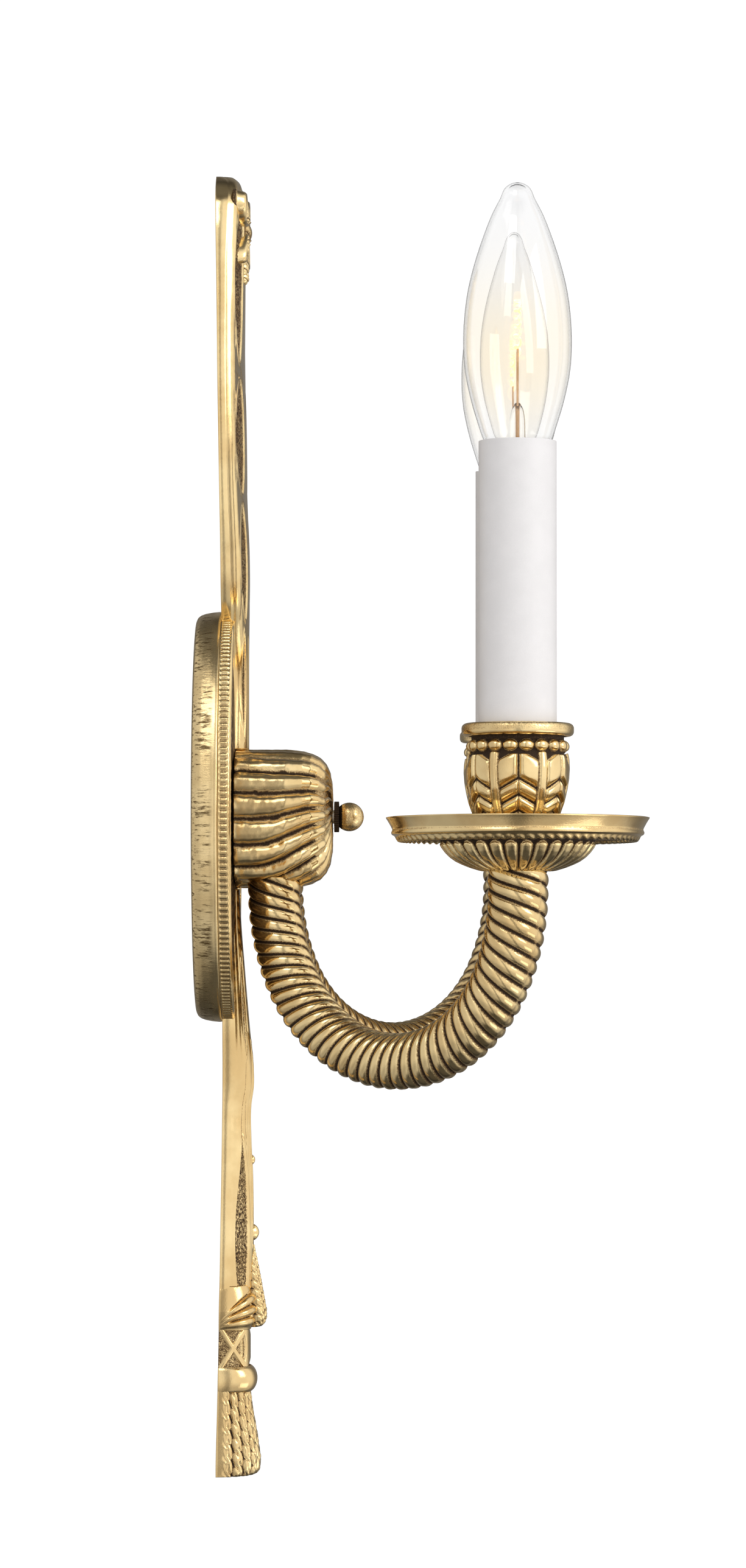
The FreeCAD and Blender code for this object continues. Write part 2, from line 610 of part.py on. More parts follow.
def bulb_filament():
    """The two support wires and the arched filament between them."""
    wires = []
    for sign in (-1, 1):
        wires.append(rod_between(V(sign * 0.9, 0, 119.5), V(sign * 4.2, 0, 136.0), 0.3))
    peak = V(0, 0, 152.0)
    arch = Part.Arc(V(-4.2, 0, 136.0), peak, V(4.2, 0, 136.0))
    circle = Part.Wire(Part.Circle(V(-4.2, 0, 136.0), arch.tangent(arch.FirstParameter)[0], 0.35).toShape())
    coil = Part.Wire(arch.toShape()).makePipeShell([circle], True, False)
    return wires[0].fuse([wires[1], coil]).removeSplitter()


# ---------------------------------------------------------------- wiring

def wire_route(side, wire):
    """The route of one wire from a socket, down its candle and arm, up to a connector in the body."""
    across = V(-arm_direction(side).y, arm_direction(side).x, 0) * (WIRE_SPREAD * wire * side)
    points = [candle_point(side, z, across) for z in (SOCKET_BOTTOM_Z - WIRE_END_GAP, ARM_TOP_Z)]
    for arc in reversed(arm_arcs()):
        start, end = arc[3:]
        steps = max(2, round((end - start) / 15))
        for i in range(steps):
            points.append(arm_path_point(side, arc, end - (end - start) * (i + 0.5) / steps) + across)
    points.append(arm_point(side, 0, BODY_BOTTOM_Z + 1) + across)
    points.append(arm_point(side, 0, BODY_BOTTOM_Z + 11) + across)
    target = V(side * wire * CONNECTOR_X, CONNECTOR_Y, CONNECTOR_BOTTOM_Z)
    if wire < 0:
        points.append(V(0, ARM_START_Y + side * 3.0, -8.0))
        points.append(target + V(side * 1.2, 0, -8.0))
    else:
        points.append(target + V(side * 1.2, 0, -7.0))
    points.append(target + V(side * 1.2, 0, 0))
    return points


def lamp_wire(side, wire):
    """One insulated wire of a candle."""
    points = wire_route(side, wire)
    return sweep_circle(round_path(points), WIRE_RADIUS, points[0], points[1] - points[0])


def wire_connectors():
    """The two twist-on connectors that join the two candles' wires inside the body."""
    cones = []
    for sign in (-1, 1):
        cone = turned((0, 0), (CONNECTOR_RADIUS, 0), (CONNECTOR_RADIUS - 0.4, 6.0),
                      (CONNECTOR_RADIUS - 1.6, CONNECTOR_HEIGHT), (0, CONNECTOR_HEIGHT))
        cones.append(cone.translated(V(sign * CONNECTOR_X, CONNECTOR_Y, CONNECTOR_BOTTOM_Z)))
    return Part.makeCompound(cones)


# ---------------------------------------------------------------- assembly

CANDLE_PARTS = {
    "drip_pan": drip_pan,
    "candle_cup": candle_cup,
    "candle_nipple": candle_nipple,
    "candle_nut": candle_nut,
    "socket_leg": socket_leg,
    "socket_housing": socket_housing,
    "socket_shell": socket_shell,
    "socket_contact": socket_contact,
    "candle_sleeve": candle_sleeve,
    "bulb_glass": bulb_glass,
    "bulb_base": bulb_base,
    "bulb_insulator": bulb_insulator,
    "bulb_contact": bulb_contact,
    "bulb_stem": bulb_stem,
    "bulb_filament": bulb_filament,
}


def build():
    """Every node of the sconce, by name."""
    nodes = {
        "mounting_strap": mounting_strap(),
        "ground_screw": ground_screw(),
        "centre_rod": centre_rod(),
        "strap_nut": strap_nut(),
        "canopy": canopy(),
        "backplate": backplate(),
        "body_cup": body_cup(),
        "ball_finial": finial(),
        "wire_connectors": wire_connectors(),
    }
    for name, make in CANDLE_PARTS.items():
        upright = make()
        for word, side in SIDES.items():
            nodes[f"{name}_{word}"] = to_candle(upright, side)
    for word, side in SIDES.items():
        nodes[f"arm_{word}"] = arm(side)
        nodes[f"arm_nipple_{word}"] = arm_nipple(side)
        nodes[f"arm_nut_{word}"] = arm_nut(side)
        nodes[f"hot_wire_{word}"] = lamp_wire(side, side)
        nodes[f"neutral_wire_{word}"] = lamp_wire(side, -side)
    return nodes


os.makedirs("parts", exist_ok=True)
for node, shape in build().items():
    shape.exportStep(f"parts/{node}.step")
    print(f"{node:24s} solids {len(shape.Solids)}  valid {shape.isValid()}  volume {shape.Volume:10.1f}")
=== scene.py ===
# %% [markdown]
# # A cast brass sconce with two candles
# This lesson builds the looks of a wall sconce around a frame that already holds its sizes and its
# moving joints. The real one is made by a brass founder: a long backplate, a fluted body, two
# rope-twist arms, two drip pans and two leafy cups are cast, dipped in a dark ageing bath, and then
# polished, so that the high places shine and the hollows stay brown. The candle sleeves are white
# tubes, and the bulbs are clear torpedoes.
#
# Every shape here is a surface worked out with numpy: a rule that takes two numbers, one along the
# piece and one around it, and gives a point. The frame is loaded first, because every place and
# most sizes come from it.

# %% The frame
import json
import math
import bpy
import numpy as np
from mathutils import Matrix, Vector


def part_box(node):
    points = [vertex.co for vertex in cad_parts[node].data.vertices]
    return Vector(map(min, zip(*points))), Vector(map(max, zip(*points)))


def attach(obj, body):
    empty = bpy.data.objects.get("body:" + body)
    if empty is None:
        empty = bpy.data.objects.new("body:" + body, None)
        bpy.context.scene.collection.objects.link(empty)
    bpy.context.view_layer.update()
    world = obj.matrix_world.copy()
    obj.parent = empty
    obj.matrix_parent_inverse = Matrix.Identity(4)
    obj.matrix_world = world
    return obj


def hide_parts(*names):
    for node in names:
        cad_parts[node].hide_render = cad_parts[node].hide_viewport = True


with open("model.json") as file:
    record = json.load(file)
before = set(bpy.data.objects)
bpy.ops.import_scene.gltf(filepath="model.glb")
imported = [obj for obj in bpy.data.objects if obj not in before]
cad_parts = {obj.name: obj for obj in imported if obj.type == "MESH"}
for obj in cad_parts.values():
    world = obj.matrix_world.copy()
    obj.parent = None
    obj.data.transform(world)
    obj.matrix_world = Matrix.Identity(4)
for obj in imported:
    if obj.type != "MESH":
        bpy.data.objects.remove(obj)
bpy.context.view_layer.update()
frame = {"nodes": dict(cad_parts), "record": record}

MM = 0.001
SIDES = {"left": -1, "right": 1}
joints = {joint["name"]: joint for joint in frame["record"]["behaviour"]["joints"]}


def box_mm(node):
    """The lowest and highest corners of a CAD node, in millimetres."""
    low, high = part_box(node)
    return np.array(low) / MM, np.array(high) / MM


# %% [markdown]
# ## Camera
# The sconce is looked at from its left side, at the height of the body's middle, from about a metre
# and a half away. A long lens keeps the perspective gentle. The lens is shifted a little, instead
# of the camera being turned, so that upright edges stay upright.

# %% Camera
CAMERA_PLACE = (-1.580, -0.0745, 0.0)
camera_data = bpy.data.cameras.new("camera")
camera = bpy.data.objects.new("camera", camera_data)
bpy.context.scene.collection.objects.link(camera)
bpy.context.scene.camera = camera
camera.location = CAMERA_PLACE
camera.rotation_euler = (math.pi / 2, 0, -math.pi / 2)
camera_data.sensor_width = 36.0
camera_data.lens = 118.97
camera_data.shift_x = -0.0437
camera_data.shift_y = 0.021
camera_data.clip_start = 0.05
camera_data.clip_end = 60.0
print("camera looks along +X from", CAMERA_PLACE)

# %% [markdown]
# ## Meshes from grids
# One helper turns a grid of points into a mesh. Each row of the grid is a closed ring, so a grid is
# a skin round something. Its two ends are closed with a fan of triangles to the middle of the end
# ring, or the last ring is joined to the first, as on a tube with a bore. The helper measures the
# signed volume and turns the faces round if it is negative, so faces always point outwards.
#
# It also stores a number called relief at every point: 1 on the high, polished places and 0 in the
# hollows. The brass reads it to know where to stay dark. The bulb glass reads the same number as a
# painted warm light from the coil.

# %% Grid helper
def ring_quads(rows, columns, joined):
    """Quads between neighbouring rings: corner numbers (i, j), (i, j+1), (i+1, j+1), (i+1, j)."""
    i, j = np.meshgrid(np.arange(rows if joined else rows - 1), np.arange(columns), indexing="ij")
    below = ((i + 1) % rows) * columns
    beside = (j + 1) % columns
    here = i * columns
    return np.stack([here + j, here + beside, below + beside, below + j], axis=-1).reshape(-1, 4)


def signed_volume(points, triangles):
    """The sum over triangles of a . (b x c) / 6."""
    a, b, c = (points[triangles[:, k]] for k in range(3))
    return float(np.einsum("ij,ij->i", a, np.cross(b, c)).sum()) / 6


def closed_skin(grid, relief, joined):
    """Points, relief, quads and triangles of a closed skin over a grid of rings."""
    rows, columns = grid.shape[:2]
    points = grid.reshape(-1, 3)
    shine = np.broadcast_to(relief, (rows, columns)).reshape(-1)
    quads = ring_quads(rows, columns, joined)
    fans = np.zeros((0, 3), dtype=int)
    if not joined:
        around = np.arange(columns)
        beside = (around + 1) % columns
        first, last = rows * columns, rows * columns + 1
        top = (rows - 1) * columns
        start_fan = np.stack([np.full(columns, first), beside, around], axis=1)
        end_fan = np.stack([np.full(columns, last), top + around, top + beside], axis=1)
        fans = np.concatenate([start_fan, end_fan])
        points = np.concatenate([points, grid[0].mean(0)[None], grid[-1].mean(0)[None]])
        shine = np.concatenate([shine, [shine[:columns].mean(), shine[-columns:].mean()]])
    halves = np.concatenate([quads[:, [0, 1, 2]], quads[:, [0, 2, 3]], fans])
    if signed_volume(points, halves) < 0:
        quads, fans = quads[:, ::-1], fans[:, ::-1]
    return points, shine, quads, fans


def piece(name, grid, relief, finish, nodes, body="sconce", joined=False):
    """A finished piece from a grid of rings in millimetres, or from a list of grids made one mesh.

    It stands in for the named nodes of the frame, rides on a body and takes its finish as its material.
    """
    grids = grid if isinstance(grid, list) else [(grid, relief)]
    points, shine, faces, count = [], [], [], 0
    for part_grid, part_relief in grids:
        p, s, quads, fans = closed_skin(part_grid, part_relief, joined)
        points.append(p)
        shine.append(s)
        faces += (quads + count).tolist() + (fans + count).tolist()
        count += len(p)
    mesh = bpy.data.meshes.new(name)
    mesh.from_pydata((np.concatenate(points) * MM).tolist(), [], faces)
    mesh.polygons.foreach_set("use_smooth", np.ones(len(faces), dtype=bool))
    layer = mesh.attributes.new("relief", "FLOAT", "POINT")
    layer.data.foreach_set("value", np.concatenate(shine).astype(np.float32))
    mesh.materials.append(finish)
    made = bpy.data.objects.new(name, mesh)
    bpy.context.scene.collection.objects.link(made)
    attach(made, body)
    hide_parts(*nodes)
    print(f"{name}: {len(faces)} faces")


print("a tube of 3 rings with 4 columns has", len(ring_quads(3, 4, joined=True)), "quads")

# %% [markdown]
# ## Outlines
# A turned piece starts as an outline of a few points. It is cut into short even steps, and each
# point is then averaged a little with its neighbours. That rounds every corner by a fraction of a
# millimetre, as casting and polishing do.

# %% Outline helpers
def bell(width):
    """Weights of a bell curve that add up to one, a few steps to each side."""
    reach = max(1, int(3 * width))
    steps = np.arange(-reach, reach + 1)
    weights = np.exp(-0.5 * (steps / width) ** 2)
    return weights / weights.sum()


def soften(values, width, looped=False):
    """Each column of values averaged down its rows by a bell curve; the ends stay in place."""
    weights = bell(width)
    reach = len(weights) // 2
    if looped:
        padded = np.concatenate([values[-reach:], values, values[:reach]])
    else:
        before = 2 * values[0] - values[reach:0:-1]
        after = 2 * values[-1] - values[-2:-reach - 2:-1]
        padded = np.concatenate([before, values, after])
    return np.stack([np.convolve(column, weights, mode="valid") for column in padded.T], 1)


def travel(line):
    """The distance travelled along a line up to each of its points."""
    return np.concatenate([[0], np.cumsum(np.linalg.norm(np.diff(line, axis=0), axis=1))])


def resampled(line, along, spots):
    """A line's points at new spots along it, on the straight runs between the old points."""
    return np.stack([np.interp(spots, along, column) for column in line.T], 1)


def outline(points, step, rounding, looped=False):
    """Points every step along straight runs, then rounded; a looped outline has no ends."""
    corners = np.array(points, dtype=float)
    if looped:
        corners = np.concatenate([corners, corners[:1]])
    along = travel(corners)
    spots = np.linspace(0, along[-1], int(along[-1] / step), endpoint=not looped)
    return soften(resampled(corners, along, spots), rounding / step, looped)


def thinned(line, fine, every):
    """The points of an outline where fine holds, and one in every few of the others."""
    return line[fine | (np.arange(len(line)) % every == 0)]


def side_normals(line, looped=False):
    """The unit normals, to the right of the direction of travel, of a line of 2-D points."""
    if looped:
        along = np.roll(line, -1, axis=0) - np.roll(line, 1, axis=0)
    else:
        along = np.gradient(line, axis=0)
    along /= np.linalg.norm(along, axis=1, keepdims=True) + 1e-12
    return np.stack([along[:, 1], -along[:, 0]], axis=1)


print("weights that round a corner:", bell(0.88).round(3))

# %% [markdown]
# ## Shader maths as Python
# A material's numbers are sums and products of noises. Wrapping a socket in a small class lets them
# be written as ordinary expressions, and every operation adds its Math node.

# %% Shader helpers
class Number:
    """A number that changes over a surface, held in a node's output socket."""

    def __init__(self, finish, socket):
        self.finish = finish
        self.socket = socket

    def _math(self, operation, *values):
        made = self.finish.node("ShaderNodeMath", {"operation": operation}, dict(enumerate(values)))
        return made.out(0)

    def __add__(self, other):
        return self._math("ADD", self, other)

    def __radd__(self, other):
        return self._math("ADD", other, self)

    def __sub__(self, other):
        return self._math("SUBTRACT", self, other)

    def __rsub__(self, other):
        return self._math("SUBTRACT", other, self)

    def __mul__(self, other):
        return self._math("MULTIPLY", self, other)

    def __rmul__(self, other):
        return self._math("MULTIPLY", other, self)

    def __pow__(self, other):
        return self._math("POWER", self, other)

    def ramp(self, low, high):
        """0 below low and 1 above high, with a smooth S between them."""
        made = self.finish.node("ShaderNodeMapRange", {"interpolation_type": "SMOOTHSTEP"},
                                {"Value": self, "From Min": low, "From Max": high})
        return made.out("Result")


class Made:
    """A node just added, whose outputs can be read."""

    def __init__(self, finish, node):
        self.finish = finish
        self.made = node

    def out(self, name):
        """One output, told by its place in the row or by its name."""
        if isinstance(name, int):
            return Number(self.finish, self.made.outputs[name])
        socket = next(s for s in self.made.outputs if name in (s.name, s.identifier))
        return Number(self.finish, socket)


class Finish:
    """A material being written, with one method that adds any node."""

    def __init__(self, name, owner=None):
        self.material = owner or bpy.data.materials.new(name)
        self.material.use_nodes = True
        self.tree = self.material.node_tree
        self.tree.nodes.clear()

    def node(self, kind, settings=None, sockets=None):
        """Add a node of a kind, set its settings, then give its sockets values or links."""
        made = self.tree.nodes.new(kind)
        for key, value in (settings or {}).items():
            setattr(made, key, value)
        for key, value in (sockets or {}).items():
            if isinstance(key, int):
                socket = made.inputs[key]
            else:
                socket = next(s for s in made.inputs if key in (s.identifier, s.name))
            if isinstance(value, Number):
                self.tree.links.new(value.socket, socket)
            else:
                socket.default_value = value
        return Made(self, made)

    def place(self, stretch=(1, 1, 1)):
        """The point in the object's own coordinates, stretched along each axis."""
        here = self.node("ShaderNodeTexCoord").out("Object")
        return self.node("ShaderNodeMapping", None, {"Vector": here, "Scale": stretch}).out("Vector")

    def noise(self, size, detail=3.0, stretch=(1, 1, 1), rough=0.55):
        """A cloudy number around 0.5, with blobs of about size metres."""
        made = self.node("ShaderNodeTexNoise", None, {
            "Vector": self.place(stretch),
            "Scale": 1.0 / size,
            "Detail": detail,
            "Roughness": rough,
        })
        return made.out(0)

    def blend(self, amount, first, second):
        """A colour that goes from first to second as amount goes from 0 to 1."""
        made = self.node("ShaderNodeMix", {"data_type": "RGBA"},
                         {"Factor_Float": amount, "A_Color": first, "B_Color": second})
        return made.out("Result_Color")

    def bump(self, height, strength, distance):
        """A normal tilted by a height."""
        made = self.node("ShaderNodeBump", None,
                         {"Height": height, "Strength": strength, "Distance": distance})
        return made.out("Normal")

    def stored_relief(self):
        """The relief that the mesh carries at every point; on the bulb glass it carries painted warm
        light from the coil.
        """
        return self.node("ShaderNodeAttribute", {"attribute_name": "relief"}).out("Fac")

    def surface(self, sockets):
        """Finish the material with one Principled shader."""
        shader = self.node("ShaderNodeBsdfPrincipled", None, sockets).out("BSDF")
        self.node("ShaderNodeOutputMaterial", None, {"Surface": shader})
        return self.material


print("operators ready:", [name for name in vars(Number) if name.startswith("__r")])

# %% [markdown]
# ## Aged brass
# The castings were dipped in an ageing bath that turned them brown-black, and then the high spots
# were polished back to pale gold. So the finish has two layers: rough dark patina in the hollows,
# speckled where the polish only brushed it, and smooth gold on top. The stored relief decides which
# one shows, and fine noise breaks the border so that it looks rubbed instead of painted.

# %% Aged brass
PATINA_ROUGHNESS = 0.60
PATINA_METAL = 0.78
GOLD_PALE = (0.900, 0.705, 0.370, 1)
GOLD_DEEP = (0.720, 0.510, 0.235, 1)
BROWN_RUBBED = (0.230, 0.135, 0.055, 1)
BROWN_DARK = (0.040, 0.024, 0.014, 1)


def aged_brass(name, polish_roughness=0.17, grain=1.0, rub=0.42):
    """Polished gold on high relief, over speckled brown patina in the hollows."""
    finish = Finish(name)
    relief = finish.stored_relief()
    speckle = finish.noise(0.00045, detail=4.0)
    patches = finish.noise(0.006, detail=3.0)
    clouds = finish.noise(0.030, detail=2.0)
    rubbed = (relief + (speckle - 0.5) * 0.75 + (patches - 0.5) * 0.30).ramp(rub - 0.24, rub + 0.20)
    hint = (relief + (speckle - 0.5) * 0.5).ramp(0.02, rub)
    patina = finish.blend(hint, BROWN_DARK, BROWN_RUBBED)
    gold = finish.blend((clouds + (patches - 0.5) * 0.5).ramp(0.30, 0.75), GOLD_DEEP, GOLD_PALE)
    colour = finish.blend(rubbed, patina, gold)
    scratches = finish.noise(0.0009, detail=2.0, stretch=(0.12, 1, 1))
    evened = PATINA_ROUGHNESS - rubbed * (PATINA_ROUGHNESS - polish_roughness)
    height = speckle * (1.0 - rubbed * 0.93) * grain + patches * 0.10
    return finish.surface({
        "Base Color": colour,
        "Metallic": PATINA_METAL + rubbed * (1 - PATINA_METAL),
        "Roughness": evened + (scratches - 0.5) * 0.08 + (patches - 0.5) * 0.08,
        "Normal": finish.bump(height, 0.55, 0.0005),
    })


cast_brass = aged_brass("cast_brass")
rope_brass = aged_brass("rope_brass", polish_roughness=0.15, rub=0.50)
print("brass finishes made")

# %% [markdown]
# ## Brushed brass of the canopy
# The canopy is spun and only lightly finished. Its narrow side wall kept short chatter marks from
# the tool, which run from the wall two thirds of the way to the front, so a noise that is stretched
# along the depth draws them, and the stored relief says how far they reach.

# %% Canopy brass
def chattered_brass():
    """Olive-toned brass with thin dark marks that run from the wall to the front."""
    finish = Finish("chattered_brass")
    rear = finish.stored_relief()
    marks = finish.noise(0.0008, detail=4.0, stretch=(0.75, 0.07, 1.0), rough=0.75)
    tone = finish.noise(0.012, detail=3.0)
    fine = finish.noise(0.0005, detail=2.0)
    dark = (marks + (tone - 0.5) * 0.35).ramp(0.50, 0.64) * rear
    base = finish.blend(tone.ramp(0.35, 0.68), (0.72, 0.54, 0.27, 1), (0.88, 0.69, 0.37, 1))
    return finish.surface({
        "Base Color": finish.blend(dark, base, (0.16, 0.105, 0.045, 1)),
        "Metallic": 1.0,
        "Roughness": 0.24 + dark * 0.22 + (fine - 0.5) * 0.10,
        "Normal": finish.bump(marks * (0.15 + rear * 0.60) + fine * 0.10, 0.35, 0.0004),
    })


canopy_brass = chattered_brass()
print("made", canopy_brass.name)

# %% [markdown]
# ## Small finishes
# The hardware behind the canopy is zinc-plated steel, the ground screw is lacquered green, and the
# lamp parts are phenolic plastic, thin stamped brass and solder. None of them is one flat colour:
# each has a soft cloudiness, a fine grain and a slight change of gloss.

# %% Hardware finishes
def plain_finish(name, light, dark, roughness, metallic=0.0, grain_size=0.0008, bump=0.15):
    """Two close tones mixed by clouds, with a fine grain in gloss and height."""
    finish = Finish(name)
    clouds = finish.noise(0.008, detail=4.0)
    grain = finish.noise(grain_size, detail=3.0)
    spots = (clouds + (grain - 0.5) * 0.4).ramp(0.35, 0.70)
    return finish.surface({
        "Base Color": finish.blend(spots, (*dark, 1), (*light, 1)),
        "Metallic": metallic,
        "Roughness": roughness + (grain - 0.5) * 0.16 + (clouds - 0.5) * 0.10,
        "Normal": finish.bump(grain + clouds * 0.4, bump, 0.0002),
    })


HARDWARE_ROWS = {
    "zinc_steel": ("zinc_steel", (0.66, 0.67, 0.66), (0.48, 0.49, 0.47), 0.36, 1.0),
    "green_screw": ("green_lacquer", (0.05, 0.30, 0.10), (0.03, 0.20, 0.07), 0.34),
    "black_phenolic": ("black_phenolic", (0.040, 0.038, 0.036), (0.018, 0.017, 0.016), 0.42),
    "shell_brass": ("stamped_brass", (0.86, 0.68, 0.36), (0.62, 0.46, 0.20), 0.28, 1.0),
    "solder": ("solder", (0.62, 0.62, 0.60), (0.40, 0.40, 0.39), 0.45, 0.9),
    "black_wire": ("black_wire", (0.045, 0.045, 0.045), (0.02, 0.02, 0.02), 0.40),
    "white_wire": ("white_wire", (0.82, 0.82, 0.79), (0.70, 0.70, 0.66), 0.40),
    "connector_plastic": ("connector_plastic", (0.78, 0.30, 0.06), (0.62, 0.22, 0.04), 0.45),
}
hardware = {slot: plain_finish(*row) for slot, row in HARDWARE_ROWS.items()}
slot_of = {row["node"]: row["material_slot"] for row in frame["record"]["subparts"]}
for node, thing in frame["nodes"].items():
    finish = hardware.get(slot_of[node], cast_brass)
    thing.data.materials.clear()
    thing.data.materials.append(finish)
print("CAD nodes finished:", len(frame["nodes"]))

# %% [markdown]
# ## The canopy
# The canopy is a shallow oval dish that is open to the wall. Its rings are ellipses: the first
# number goes round the ellipse, and the second along a short profile that says how far in from the
# edge and how far from the wall each ring lies.

# %% Canopy
canopy_low, canopy_high = box_mm("canopy")
CANOPY_A, CANOPY_B = canopy_high[0], canopy_high[2]
CANOPY_DEPTH = -canopy_low[1]
CANOPY_WALL = 1.2
CANOPY_COLUMNS = 360
CANOPY_HOLE_INSET = 17.0
MARKS_REACH = 5.4


def step_up(value, low, high):
    """0 below low, 1 above high, and a smooth S between them."""
    t = np.clip((value - low) / (high - low), 0, 1)
    return t * t * (3 - 2 * t)


def ellipse_ring(inset, columns):
    """An ellipse in the wall's plane, moved inwards along its own normals by inset."""
    t = 2 * np.pi * np.arange(columns) / columns
    normal = np.stack([np.cos(t) / CANOPY_A, np.sin(t) / CANOPY_B])
    normal /= np.linalg.norm(normal, axis=0)
    return CANOPY_A * np.cos(t) - inset * normal[0], CANOPY_B * np.sin(t) - inset * normal[1]


def oval_grid(line, columns, swell=0.0):
    """Rings of an oval from a profile of (inset, depth), moved out along its normal by swell."""
    normal = side_normals(line, looped=True)
    swell = np.broadcast_to(swell, (len(line), columns))
    inset = line[:, :1] + normal[:, :1] * swell
    depth = line[:, 1:] + normal[:, 1:] * swell
    x, z = ellipse_ring(inset, columns)
    return np.stack([x, -np.broadcast_to(depth, x.shape), z], axis=-1)


canopy_line = outline([(2.9, 0.0), (1.8, 0.5), (1.1, 1.4), (0.6, 2.8), (0.2, 5.0), (0.0, 7.2),
                       (0.2, CANOPY_DEPTH), (CANOPY_HOLE_INSET, CANOPY_DEPTH),
                       (CANOPY_HOLE_INSET, CANOPY_DEPTH - CANOPY_WALL),
                       (2.2, CANOPY_DEPTH - CANOPY_WALL), (3.5, 0.0)], 0.25, 0.22, looped=True)
canopy_line = thinned(canopy_line, canopy_line[:, 0] < 3.2, 10)
uneven_edge = soften(np.random.default_rng(4).random((CANOPY_COLUMNS, 1)), 2.0, looped=True)
mark_edge = MARKS_REACH + 1.1 * uneven_edge.T
canopy_relief = 1 - step_up(canopy_line[:, 1:] - mark_edge, -0.8, 0.6)
piece("canopy_dish", oval_grid(canopy_line, CANOPY_COLUMNS), canopy_relief, canopy_brass,
      ["canopy"], joined=True)

# %% [markdown]
# ## The oval plate
# The backplate is one casting, but its ornament is easier to read in parts. The first is the oval
# plate over the canopy. Its outer edge is cut into some two hundred fine ridges, then comes a
# smooth lip, a dark groove and a row of small beads, and inside them a pitted ground.

# %% Oval plate
PLATE_BACK = CANOPY_DEPTH
PLATE_THICKNESS = 4.0
PLATE_FRONT = PLATE_BACK + PLATE_THICKNESS
RIDGES = 200
BEADS_ROUND_PLATE = 116
PLATE_COLUMNS = RIDGES * 5
GROOVE_INSET, BEAD_INSET, GROUND_INSET = 3.4, 5.7, 7.2


def hump(value, middle, width):
    """A smooth rise to 1 at the middle: e to the power of minus ((value - middle) / width) squared."""
    return np.exp(-((value - middle) / width) ** 2)


def grooves(phase, width):
    """How deep a row of grooves is: 1 at each whole number of phase, falling off over width."""
    return hump(np.abs((phase + 0.5) % 1.0 - 0.5), 0, width)


plate_line = outline([(0.0, PLATE_BACK), (0.0, PLATE_BACK + 3.2), (0.7, PLATE_FRONT), (2.3, PLATE_FRONT),
                      (2.9, PLATE_FRONT - 1.5), (4.0, PLATE_FRONT - 1.5), (4.8, PLATE_FRONT - 0.1),
                      (6.6, PLATE_FRONT - 0.1), (7.4, PLATE_FRONT - 1.2), (20.0, PLATE_FRONT - 0.5),
                      (38.0, PLATE_FRONT), (38.0, PLATE_BACK)], 0.30, 0.20, looped=True)
plate_line = thinned(plate_line, (plate_line[:, 0] < 8.0) & (plate_line[:, 1] > PLATE_BACK + 0.1), 8)
in_inset, in_depth = plate_line[:, :1], plate_line[:, 1:]
around_plate = np.arange(PLATE_COLUMNS)[None] / PLATE_COLUMNS
on_edge = step_up(in_depth, PLATE_BACK + 0.2, PLATE_BACK + 0.8) * (1 - step_up(in_depth, 10.6, 11.3))
ridge_cut = on_edge * (in_inset < 1.5) * grooves(RIDGES * around_plate, 0.22)
on_beads = hump(in_inset, BEAD_INSET, 0.9) * (in_depth > PLATE_FRONT - 1.4)
bead_cut = on_beads * grooves(BEADS_ROUND_PLATE * around_plate, 0.20)
dark_groove = hump(in_inset, GROOVE_INSET, 0.8) * (in_depth > PLATE_BACK + 1)
on_ground = (in_inset > GROUND_INSET) * (in_depth > PLATE_FRONT - 1.5)
pitted = np.random.default_rng(11).random((len(plate_line), PLATE_COLUMNS // 2)).repeat(2, axis=1)
plate_relief = (0.95 - 0.75 * ridge_cut - 0.8 * bead_cut - 0.85 * dark_groove
                - on_ground * (0.62 + 0.33 * pitted))
piece("oval_plate", oval_grid(plate_line, PLATE_COLUMNS, 0.50 * ridge_cut + 0.75 * bead_cut),
      np.clip(plate_relief, 0, 1), cast_brass, ["backplate"], joined=True)

# %% [markdown]
# ## The long casting
# Everything above and below the oval is one narrow casting with a flat back that arches a little
# towards the wall at its two ends. Two rules make all of it. A ribbon section has nearly upright
# side walls and a crowned front: its height falls with about the square of the distance from the
# middle. A full section is a superellipse, fat and boxy, whose surface is pushed in or out by a
# pattern. Both are stacked up the Z axis, one ring to each height.

# %% Section rules
ARCH_START, ARCH_END, ARCH_DEPTH = 75.0, 197.0, 1.9
WALL_STEPS = 14
FACE_STEPS = 150
POLISHED = 0.97


def casting_back(z):
    """Distance of the back from the wall: full near the canopy, less towards the two ends."""
    share = np.clip((np.abs(z) - ARCH_START) / (ARCH_END - ARCH_START), 0, 1)
    return PLATE_BACK - ARCH_DEPTH * share ** 1.3


def ribbon_grid(z, half, front, corner):
    """Rings of a ribbon section: x = half q across the front, with gently bulging side walls."""
    q = np.linspace(-1, 1, FACE_STEPS)[None]
    back = casting_back(z)[:, None]
    half = half[:, None]
    corner = np.minimum(corner, 0.45 * half)
    wall = np.linspace(0, 1, WALL_STEPS)[None, :-1]
    bulge = 0.7 * ((wall - 0.3) / 0.7) ** 2
    into = np.clip((np.abs(q) * half - half + corner) / corner, 0, 1)
    fall = corner * (1 - np.sqrt(1 - 0.98 * into ** 2))
    face = np.maximum(front - fall, back + 0.5)
    left = back + (face[:, :1] - back) * wall
    right = back + (face[:, -1:] - back) * wall[:, ::-1]
    depth = np.concatenate([left, face, right], axis=1)
    shrink = np.minimum(0.7, 0.1 * half)
    left_x = shrink * bulge - half
    x = np.concatenate([left_x, q * (half - shrink), -left_x[:, ::-1]], axis=1)
    return np.stack([x, -depth, np.broadcast_to(z[:, None], x.shape)], axis=-1)


def pad_walls(shine):
    """Relief of a face with bright side walls added to it."""
    wall = np.full((len(shine), WALL_STEPS - 1), POLISHED)
    return np.concatenate([wall, shine, wall], axis=1)


SECTION_POWER = 2.5
SKIN_STEPS = 150
turn = np.linspace(-np.pi / 2, np.pi / 2, SKIN_STEPS)[None]
frontness = np.cos(turn)
depth_share = frontness ** (2 / SECTION_POWER)
width_share = np.sign(turn) * np.abs(np.sin(turn)) ** (2 / SECTION_POWER)


